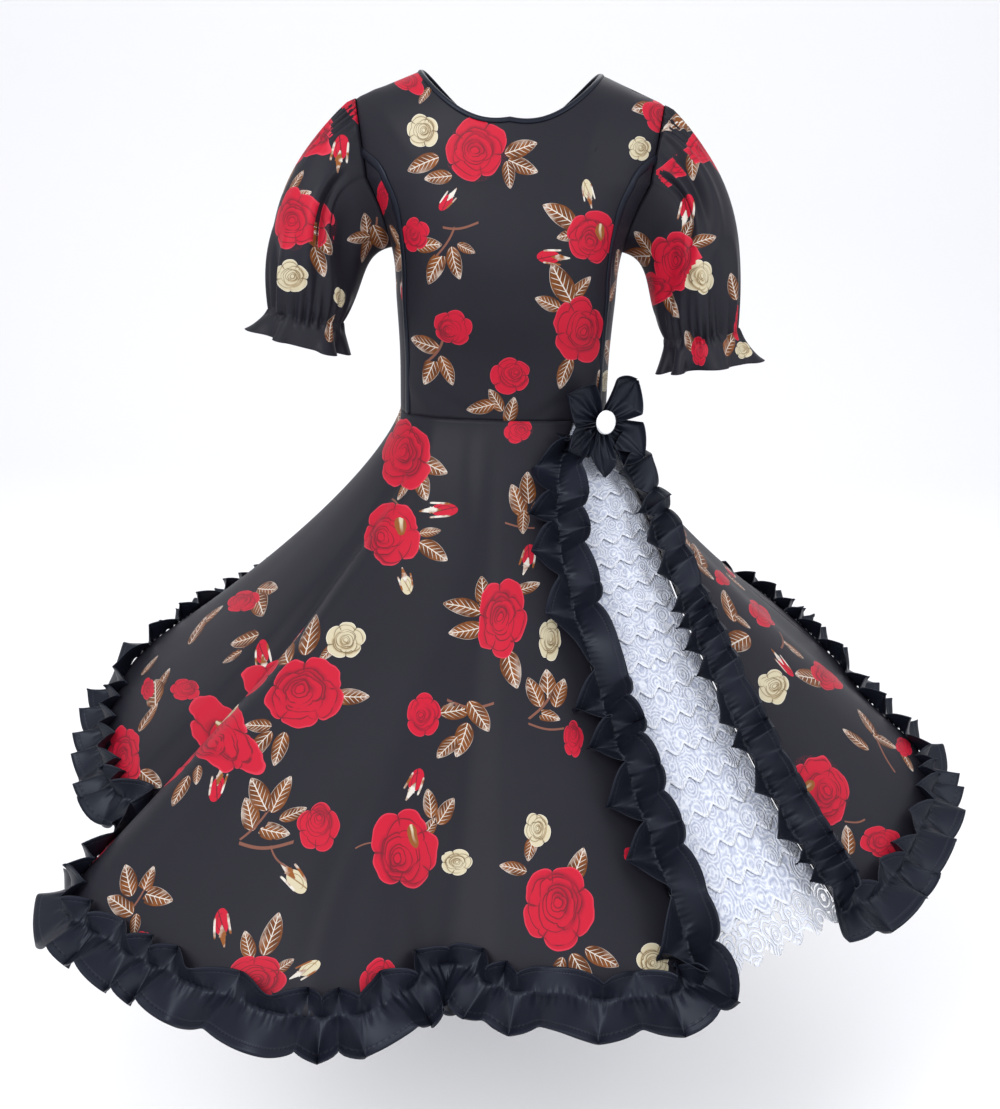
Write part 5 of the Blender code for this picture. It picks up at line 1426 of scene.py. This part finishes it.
def lay_print(piece, name, points, normals, taken):
    """Writes where each face lies in its motif, in three layers: two of leaves and buds, and the roses."""
    shift = normals * CLOTH / 2
    flat_points = (points + shift).reshape(-1, 3)
    flat_normals = normals.reshape(-1, 3)
    placed = [place_seen(motif, flat_points, flat_normals) for motif in PRINT.get(name, ())]
    share = PUFF_SHARE if name in ("sleeve_right", "sleeve_left") else 1.0
    placed += place_unseen(flat_points, flat_normals, taken, share)
    mesh = piece.data
    marks = np.zeros(len(mesh.polygons), np.int32)
    mesh.attributes["outer_faces"].data.foreach_get("value", marks)
    outer = int(marks.sum())
    corners = np.zeros(len(mesh.loops), np.int32)
    mesh.loops.foreach_get("vertex_index", corners)
    corners = corners[:outer * 4].reshape(-1, 4)
    spots = np.zeros(len(mesh.vertices) * 3)
    mesh.vertices.foreach_get("co", spots)
    spots = spots.reshape(-1, 3)
    centres = spots[corners].mean(axis=1)
    facing = flat_normals[corners[:, 0]]
    layers = [[], [], []]
    for index, motif in enumerate(placed):
        layer = 2 if "rose" in motif.kind else index % 2
        layers[layer].append(motif)
    for number, layer in enumerate(layers):
        values = np.zeros((len(mesh.loops), 3), np.float32)
        values[:, :2] = 9.0
        best = np.full(outer, 1.5)
        for index, motif in enumerate(layer):
            near = np.flatnonzero(
                (np.linalg.norm(centres - motif.centre, axis=1) < motif.reach) & (facing @ motif.normal > 0.0)
            )
            middle = (centres[near] - motif.centre) @ motif.axes.T
            squeeze = 1.0 if "rose" in motif.kind else 2.0
            measure = np.hypot(middle[:, 0], middle[:, 1] * squeeze)
            better = measure < best[near]
            chosen = near[better]
            best[chosen] = measure[better]
            local = (spots[corners[chosen]] - motif.centre) @ motif.axes.T
            code = KINDS[motif.kind] + (index * 0.37 % 1.0) * 0.4
            block = np.concatenate([local, np.full((*local.shape[:2], 1), code)], axis=2)
            rows = (chosen[:, None] * 4 + np.arange(4)[None, :]).ravel()
            values[rows] = block.reshape(-1, 3)
        layer_attribute = mesh.attributes.new("print_%d" % (number + 1), "FLOAT_VECTOR", "CORNER")
        layer_attribute.data.foreach_set("vector", values.ravel())


# Materials

class Value:
    """A number in a shader, which ordinary arithmetic turns into Math nodes."""

    def __init__(self, tree, socket):
        self.tree = tree
        self.socket = socket

    def make(self, operation, *others):
        """A Math node on this value and the others."""
        node = self.tree.nodes.new("ShaderNodeMath")
        node.operation = operation
        for index, value in enumerate((self, *others)):
            if isinstance(value, Value):
                self.tree.links.new(value.socket, node.inputs[index])
            else:
                node.inputs[index].default_value = value
        return Value(self.tree, node.outputs[0])

    def __add__(self, other):
        return self.make("ADD", other)

    def __sub__(self, other):
        return self.make("SUBTRACT", other)

    def __mul__(self, other):
        return self.make("MULTIPLY", other)

    def below(self, limit):
        """1 where the value is under the limit."""
        return self.make("LESS_THAN", limit)

    def sine(self):
        """The value's sine."""
        return self.make("SINE")

    def size(self):
        """The value without its sign."""
        return self.make("ABSOLUTE")

    def power(self, number):
        """The value, at least 0, raised to a power."""
        return self.make("MAXIMUM", 0.0).make("POWER", number)

    def most(self, other):
        """The larger of two values."""
        return self.make("MAXIMUM", other)

    def near(self, other, width):
        """1 on a line where the value meets another, fading to 0 at a width."""
        return (self - other).size().step(width, width * 0.45)

    def step(self, low, high):
        """0 under low, 1 over high, and straight between."""
        node = self.tree.nodes.new("ShaderNodeMapRange")
        node.clamp = True
        for name, value in (("Value", self), ("From Min", low), ("From Max", high)):
            if isinstance(value, Value):
                self.tree.links.new(value.socket, node.inputs[name])
            else:
                node.inputs[name].default_value = value
        return Value(self.tree, node.outputs["Result"])


class Paint:
    """A material's node tree, with short calls for the nodes that the prints need."""

    def __init__(self, name):
        self.material = bpy.data.materials.new(name)
        self.material.use_nodes = True
        self.tree = self.material.node_tree
        self.shader = self.tree.nodes["Principled BSDF"]

    def node(self, kind, **values):
        """A node of a kind with these input values."""
        node = self.tree.nodes.new(kind)
        for name, value in values.items():
            node.inputs[name.replace("_", " ")].default_value = value
        return node

    def attribute(self, name):
        """A mesh attribute's vector output."""
        node = self.tree.nodes.new("ShaderNodeAttribute")
        node.attribute_name = name
        return node.outputs["Vector"]

    def split(self, vector):
        """The three numbers of a vector."""
        node = self.tree.nodes.new("ShaderNodeSeparateXYZ")
        self.tree.links.new(vector, node.inputs[0])
        return [Value(self.tree, output) for output in node.outputs]

    def place(self):
        """The object's own coordinates."""
        return self.tree.nodes.new("ShaderNodeTexCoord").outputs["Object"]

    def noise(self, scale, detail=2.0, vector=None):
        """A noise value from 0 to 1."""
        node = self.node("ShaderNodeTexNoise", Scale=scale, Detail=detail)
        self.tree.links.new(vector or self.place(), node.inputs["Vector"])
        return Value(self.tree, node.outputs["Fac"])

    def mix(self, share, first, second):
        """One colour turned into another by a share."""
        node = self.tree.nodes.new("ShaderNodeMix")
        node.data_type = "RGBA"
        colour_sockets = [socket for socket in node.inputs if socket.type == "RGBA"]
        pairs = ((node.inputs["Factor"], share), (colour_sockets[0], first), (colour_sockets[1], second))
        for socket, value in pairs:
            if isinstance(value, Value):
                self.tree.links.new(value.socket, socket)
            elif isinstance(value, bpy.types.NodeSocket):
                self.tree.links.new(value, socket)
            elif isinstance(value, tuple):
                socket.default_value = (*value, 1.0)
            else:
                socket.default_value = value
        return [socket for socket in node.outputs if socket.type == "RGBA"][0]

    def bump(self, height, strength, distance):
        """A bump from a height value, on the shader's normal."""
        node = self.node("ShaderNodeBump", Strength=strength, Distance=distance)
        self.tree.links.new(height.socket, node.inputs["Height"])
        self.tree.links.new(node.outputs["Normal"], self.shader.inputs["Normal"])

    def finish(self, colour, **settings):
        """Sets the base colour and the shader's own sockets."""
        if isinstance(colour, tuple):
            self.shader.inputs["Base Color"].default_value = (*colour, 1.0)
        else:
            self.tree.links.new(colour, self.shader.inputs["Base Color"])
        for name, value in settings.items():
            self.shader.inputs[name.replace("_", " ")].default_value = value
        return self.material


SATIN_BLACK = (0.0105, 0.0102, 0.0150)
SATIN_PALE = (0.0140, 0.0135, 0.0200)
SATIN_INSIDE = (0.006, 0.006, 0.009)
PLAIN_BLACK = (0.0050, 0.0058, 0.0105)
PLAIN_PALE = (0.0075, 0.0085, 0.0150)
SATIN_FINISH = {"Roughness": 0.50, "Specular_IOR_Level": 0.13}
PLAIN_FINISH = {"Roughness": 0.40, "Specular_IOR_Level": 0.19, "Specular_Tint": (0.76, 0.86, 1.0, 1.0)}


def satin_base(paint, dark=SATIN_BLACK, pale=SATIN_PALE):
    """The satin's ground colour, with slow changes, and its fine twill bump."""
    slow = paint.noise(9.0, 3.0)
    fine = paint.noise(900.0, 1.0)
    paint.bump(fine, 0.10, 0.0004)
    return paint.mix(slow, dark, pale)


def plain_satin():
    """Plain black satin for the bands, the binding and the petals."""
    paint = Paint("plain_satin")
    colour = satin_base(paint, PLAIN_BLACK, PLAIN_PALE)
    return paint.finish(colour, **PLAIN_FINISH)


def ruffle_satin():
    """Plain satin with a line of stitches near the ruffle's free edges and fine gathers by its middle."""
    paint = Paint("ruffle_satin")
    slow = paint.noise(9.0, 3.0)
    along, _, inward = paint.split(paint.attribute("cloth"))
    line = inward.near(STITCH_PLACE, STITCH_WIDTH)
    stitches = (along * STITCH_RATE).sine().step(-0.5, -0.2)
    thread = line * stitches
    weave = paint.noise(900.0, 1.0)
    gathers = (along * GATHER_RATE + (slow * 9.0).sine() * 2.0).sine() * inward.step(0.55, 1.0)
    paint.bump(weave * 0.06 - line * 0.8 + thread * 0.5 + gathers * 0.8, 0.5, 0.0009)
    colour = paint.mix(slow, PLAIN_BLACK, PLAIN_PALE)
    colour = paint.mix(thread * 0.25, colour, THREAD)
    return paint.finish(colour, **PLAIN_FINISH)


def inner_satin():
    """The satin's duller inner side."""
    paint = Paint("satin_inside")
    weave = paint.noise(700.0, 1.0)
    paint.bump(weave, 0.15, 0.0004)
    colour = paint.mix(paint.noise(14.0), SATIN_INSIDE, (0.012, 0.012, 0.016))
    return paint.finish(colour, Roughness=0.7)


THREAD = (0.03, 0.03, 0.04)
STITCH_RATE = 2 * math.pi / 0.0030
STITCH_PLACE = 0.20
STITCH_WIDTH = 0.035
GATHER_RATE = 2 * math.pi / 0.0075
RED = (0.40, 0.008, 0.026)
RED_SHADE = (0.20, 0.007, 0.020)
RED_LINE = (0.115, 0.010, 0.018)
RED_EDGE = (0.50, 0.032, 0.060)
CREAM = (0.46, 0.41, 0.285)
CREAM_SHADE = (0.21, 0.135, 0.055)
CREAM_LINE = (0.07, 0.045, 0.022)
CREAM_EDGE = (0.56, 0.54, 0.45)
BROWN = (0.205, 0.066, 0.015)
BROWN_DARK = (0.078, 0.024, 0.007)
VEIN_WHITE = (0.54, 0.51, 0.46)
STEM_BROWN = (0.16, 0.065, 0.045)
RingRow = namedtuple("RingRow", "size petals twist start")
ROSE_RINGS = (
    RingRow(0.99, 5, 0.3, 0.0),
    RingRow(0.76, 3, 1.2, 1.1),
    RingRow(0.60, 3, 2.1, 2.6),
    RingRow(0.46, 3, 2.4, 0.4),
    RingRow(0.33, 2, 3.4, 1.9),
    RingRow(0.22, 3, 3.4, 0.2),
    RingRow(0.12, 2, 4.0, 0.9),
)


def is_kind(code, *kinds):
    """1 where the code is one of these kinds."""
    found = None
    for kind in kinds:
        share = (code - (KINDS[kind] + 0.2)).size().below(0.3)
        found = share if found is None else found + share
    return found


def rose_layer(paint, ground, number):
    """Roses over a ground: rings of petals drawn by their edges, with a shadow outside each edge."""
    x, y, code = paint.split(paint.attribute("print_%d" % number))
    side = is_kind(code, "side_rose")
    opened = is_kind(code, "open_rose")
    pale = is_kind(code, "cream_rose")
    seed = code.make("FRACT") * 15.0
    x = x + (paint.noise(42.0, 1.0) - 0.5) * 0.26
    y = y + (paint.noise(33.0, 1.0) - 0.5) * 0.26
    centre_x = side * 0.34 + opened * -0.26 + seed.sine() * 0.13
    centre_y = side * 0.10 + opened * -0.20 + (seed * 1.7).sine() * 0.13
    line = shade = mask = None
    for row in ROSE_RINGS:
        dx = x - centre_x * (1.0 - row.size)
        dy = y - centre_y * (1.0 - row.size)
        radius = (dx * dx + dy * dy).make("SQRT")
        angle = dy.make("ARCTAN2", dx)
        sway = (angle + seed * 1.3 + row.start * 2.0).sine() * 0.09
        sway = sway + (angle * 2.0 + seed * 2.1 + row.start).sine() * 0.05
        turn = angle * (row.petals / 2) + radius * row.twist + seed * (1.0 + row.size) + row.start
        lobe = turn.sine().size()
        edge = (lobe.power(0.5) * 0.20 + sway + 0.79) * row.size
        gap = radius - edge
        if mask is None:
            mask = gap.below(0.0)
            rim = gap.step(-0.050, -0.015)
            line = lobe.near(0.0, 0.10) * gap.step(-0.30, -0.20)
            shade = lobe.step(0.4, 0.0) * gap.step(-0.30, -0.05) * 0.5
            continue
        line = line.most(gap.near(0.0, 0.021))
        one_side = (angle * 1.0 + seed).sine().step(-0.9, 0.6)
        shade = shade.most(gap.step(0.11, 0.0) * gap.step(-0.01, 0.01) * one_side)
    line = line * paint.noise(60.0, 1.0).step(0.30, 0.46)
    heart_x = (x - 0.30) * 6.0
    heart_y = (y - 0.26) * 3.6
    heart = (heart_x * heart_x + heart_y * heart_y).below(1.0) * opened
    fill = paint.mix(shade, paint.mix(pale, RED, CREAM), paint.mix(pale, RED_SHADE, CREAM_SHADE))
    fill = paint.mix(rim * 0.8, fill, paint.mix(pale, RED_EDGE, CREAM_EDGE))
    fill = paint.mix(line * 0.85, fill, paint.mix(pale, RED_LINE, CREAM_LINE))
    heart_colour = paint.mix(heart_x.near(0.1, 0.35) * heart_y.step(-0.8, 0.4), BROWN, CREAM)
    fill = paint.mix(heart, fill, heart_colour)
    shown = mask * is_kind(code, "rose", "open_rose", "side_rose", "cream_rose")
    return paint.mix(shown, ground, fill)


LEAF_HALF_WIDTH = 0.47
VEIN_SLANT = 1.15
VEIN_RATE = 3.3
VEIN_WIDTH = 0.095
MIDRIB_WIDTH = 0.034


def spray_layer(paint, ground, number):
    """Leaves, buds and stems over a ground."""
    x, y, code = paint.split(paint.attribute("print_%d" % number))
    seed = code.make("FRACT") * 20.0
    streak = paint.noise(70.0, 2.0)
    bend = (x * 1.6 + seed).sine() * 0.05
    y = y + bend
    across = y.size()
    before_tip = (x * -1.0 + 1.0).power(0.80)
    after_base = (x + 1.0).power(0.55)
    half = before_tip * after_base * LEAF_HALF_WIDTH
    is_leaf = across.below(half) * is_kind(code, "leaf") * x.size().below(0.99)
    veins = ((x - across * VEIN_SLANT) * VEIN_RATE).make("FRACT").near(0.5, VEIN_WIDTH)
    veins = veins * across.step(0.42, 0.20) * (half - across).step(0.04, 0.10)
    middle = across.near(0.0, MIDRIB_WIDTH) * x.step(0.92, 0.70)
    pale_side = seed.sine().step(-0.3, 0.3)
    lit_half = y.step(0.14, 0.36) * (x + seed.sine() * 0.3).step(-0.5, 0.8)
    lit_half = lit_half * streak.step(0.40, 0.60) * pale_side
    tip = x.step(0.62, 0.94) * across.step(0.0, 0.05)
    brown = paint.mix((streak.step(0.38, 0.64) * 0.6 + across.step(0.3, 0.0) * 0.4), BROWN_DARK, BROWN)
    leaf_colour = paint.mix(lit_half * 0.7, brown, VEIN_WHITE)
    rim = (half - across).step(0.030, 0.012) * (x + y).step(-0.1, 0.5) * 0.6
    whites = veins.most(middle).most(tip * streak.step(0.35, 0.55)).most(rim)
    leaf_colour = paint.mix(whites, leaf_colour, VEIN_WHITE)
    ground = paint.mix(is_leaf, ground, leaf_colour)

    body_x = (x - 0.22) * 1.55
    body_y = y * 2.9
    from_body = (body_x * body_x + body_y * body_y).make("SQRT")
    tip_cut = x.below(0.88)
    body = from_body.below(1.0) * tip_cut
    fold = (y - (x - 0.2) * 0.25).near(0.0, 0.035).most(from_body.near(0.62, 0.05) * y.step(-0.1, 0.1))
    blade = across.near(from_body.step(1.4, 0.2) * 0.06 + (x * -0.10 + 0.33), 0.075) * x.near(0.02, 0.62)
    calyx = across.below((x + 1.0) * 0.20 + 0.03) * x.below(-0.28) * x.step(-1.0, -0.99)
    husk = blade.step(0.3, 0.5).most(calyx)
    cup = across.below((x * -0.9 + 0.15).step(0.0, 1.0) * 0.32)
    husk = husk.most(cup * x.near(-0.20, 0.30).step(0.1, 0.3))
    red_bud = is_kind(code, "bud")
    pale_bud = is_kind(code, "cream_bud")
    petals = paint.mix(fold, paint.mix(pale_bud, RED, CREAM), paint.mix(pale_bud, RED_LINE, CREAM_SHADE))
    husk_colour = paint.mix(streak.step(0.42, 0.58), BROWN, VEIN_WHITE)
    some_bud = red_bud + pale_bud
    ground = paint.mix(body * some_bud, ground, petals)
    ground = paint.mix(husk * some_bud, ground, husk_colour)

    curve = (x * 1.57).make("COSINE") * 0.16 - 0.08
    twig = (y + curve).near(0.0, 0.075).step(0.2, 0.5) * is_kind(code, "stem") * x.size().below(1.0)
    return paint.mix(twig, ground, STEM_BROWN)


def printed_satin():
    """Black satin with the print: sprays of leaves and buds below, roses on top."""
    paint = Paint("printed_satin")
    colour = satin_base(paint)
    colour = spray_layer(paint, colour, 1)
    colour = spray_layer(paint, colour, 2)
    colour = rose_layer(paint, colour, 3)
    return paint.finish(colour, **SATIN_FINISH)


LACE_SHADE = (0.32, 0.36, 0.49)
LACE_WHITE = (0.66, 0.69, 0.76)


def lace_material(name, open_net):
    """White lace: round flower motifs in a net, in relief, with painted shade that darkens its low parts."""
    paint = Paint(name)
    cloth = paint.attribute("cloth")
    voronoi = paint.node("ShaderNodeTexVoronoi", Scale=52.0, Randomness=0.9)
    paint.tree.links.new(cloth, voronoi.inputs["Vector"])
    away = Value(paint.tree, voronoi.outputs["Distance"])
    rings = (away * 34.0).make("SINE") * 0.5 + 0.5
    thread = paint.noise(1400.0, 2.0, cloth)
    coarse = paint.noise(260.0, 2.0, cloth)
    height = rings * 0.45 + coarse * 0.85 + thread * 0.4
    paint.bump(height, 0.9, 0.0020)
    _, _, step = paint.split(cloth)
    cord = step.step(LACE_STEP_DEPTH * 0.86, LACE_STEP_DEPTH * 0.93)
    cord = cord.most(step.near(LACE_STEP_DEPTH * 0.62, LACE_STEP_DEPTH * 0.07) * coarse.step(0.42, 0.56))
    # Painted shade: the lace goes towards the darker blue-grey LACE_SHADE where its relief is low, and stays
    # white on its high parts and cords.
    shade = height.step(0.45, 1.15).most(cord)
    colour = paint.mix(shade, LACE_SHADE, LACE_WHITE)
    if open_net:
        holes = (coarse * 0.6 + rings * 0.4).step(0.40, 0.46)
        paint.tree.links.new(holes.socket, paint.shader.inputs["Alpha"])
    return paint.finish(colour, Roughness=0.8, Sheen_Weight=0.2)


def button_material():
    """Glossy white moulded plastic."""
    paint = Paint("white_button")
    paint.bump(paint.noise(120.0), 0.02, 0.0003)
    colour = paint.mix(paint.noise(60.0), (0.86, 0.88, 0.93), (0.92, 0.93, 0.96))
    return paint.finish(colour, Roughness=0.16, Coat_Weight=0.4, Coat_Roughness=0.08)


def tape_material():
    """The zip's woven tape."""
    paint = Paint("zip_tape_weave")
    across, along, _ = paint.split(paint.attribute("cloth"))
    rib = (along * 5200.0).make("SINE") * (across * 4200.0).make("SINE")
    paint.bump(rib, 0.4, 0.0003)
    return paint.finish(paint.mix(rib, (0.012, 0.012, 0.014), (0.022, 0.022, 0.026)), Roughness=0.85)


def metal_material():
    """Black painted metal with a fine random mottle of tone."""
    paint = Paint("zip_metal")
    paint.bump(paint.noise(2600.0), 0.15, 0.0001)
    colour = paint.mix(paint.noise(900.0, 3.0), (0.02, 0.02, 0.022), (0.06, 0.06, 0.065))
    return paint.finish(colour, Roughness=0.35, Metallic=0.8)


def stage_material(name, colour):
    """A plain matt floor or backdrop."""
    return Paint(name).finish(colour, Roughness=0.9)


# Stage and light

FLOOR = -1.42


def build_stage():
    """A pale floor that curves up into a backdrop."""
    profile = [(-6.0, FLOOR), (2.6, FLOOR)]
    for angle in np.radians(np.linspace(0.0, 90.0, 16)[1:]):
        profile.append((2.6 + 1.6 * math.sin(angle), FLOOR + 1.6 * (1 - math.cos(angle))))
    profile.append((4.2, 6.0))
    vertices = []
    for y, z in profile:
        vertices.append((-9.0, y, z))
        vertices.append((9.0, y, z))
    faces = [(2 * i, 2 * i + 1, 2 * i + 3, 2 * i + 2) for i in range(len(profile) - 1)]
    mesh = bpy.data.meshes.new("floor")
    mesh.from_pydata(vertices, [], faces)
    mesh.polygons.foreach_set("use_smooth", np.ones(len(faces), bool))
    mesh.materials.append(stage_material("pale_floor", (0.86, 0.86, 0.87)))
    floor = bpy.data.objects.new("floor", mesh)
    bpy.context.scene.collection.objects.link(floor)


LightRow = namedtuple("LightRow", "name x y z size energy")
LIGHTS = (
    LightRow("key", -1.6, -2.0, 1.9, 1.6, 70.0),
    LightRow("fill", 2.2, -1.7, 0.9, 1.8, 30.0),
    LightRow("front", 0.0, -2.6, 0.3, 1.6, 14.0),
    LightRow("back", 0.4, 1.9, 1.6, 1.6, 22.0),
)


def build_lights():
    """Large soft lights and an even pale sky."""
    target = np.array([0.0, 0.0, -0.45])
    for row in LIGHTS:
        data = bpy.data.lights.new(row.name, "AREA")
        data.size = row.size
        data.energy = row.energy
        light = bpy.data.objects.new(row.name, data)
        place = np.array([row.x, row.y, row.z])
        forward = unit(target - place)
        right = unit(np.cross(forward, (0.0, 0.0, 1.0)))
        up = np.cross(right, forward)
        turn = Matrix(np.column_stack([right, up, -forward]).tolist()).to_4x4()
        light.matrix_world = Matrix.Translation(place.tolist()) @ turn
        bpy.context.scene.collection.objects.link(light)
    world = bpy.data.worlds.new("sky")
    world.use_nodes = True
    background = world.node_tree.nodes["Background"]
    background.inputs["Color"].default_value = (0.95, 0.96, 1.0, 1.0)
    background.inputs["Strength"].default_value = 0.95
    bpy.context.scene.world = world
    bpy.context.scene.view_settings.view_transform = "Standard"


def build():
    """The dress, its stage, lights and camera."""
    add_camera()
    build_stage()
    build_lights()
    inside = inner_satin()
    plain = [plain_satin(), inside]
    printed = [printed_satin(), inside]
    lace = lace_material("lace", False)
    open_lace = lace_material("open_lace", True)
    metal = metal_material()
    pieces = build_bodice(printed)
    build_bands([plain[0]])
    build_neck_binding([plain[0]])
    pieces.update(build_sleeves(printed))
    pieces.update(build_skirt(printed))
    taken = []
    for name, (piece, points, normals) in pieces.items():
        lay_print(piece, name, points, normals, taken)
    build_ruffles([ruffle_satin()])
    build_lace([lace], [open_lace])
    build_petals([plain[0]])
    build_button(button_material())
    build_zip_tape([tape_material()])
    for name in ("zip_slider", "zip_pull"):
        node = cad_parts[name]
        for slot in node.material_slots:
            slot.material = metal


build()
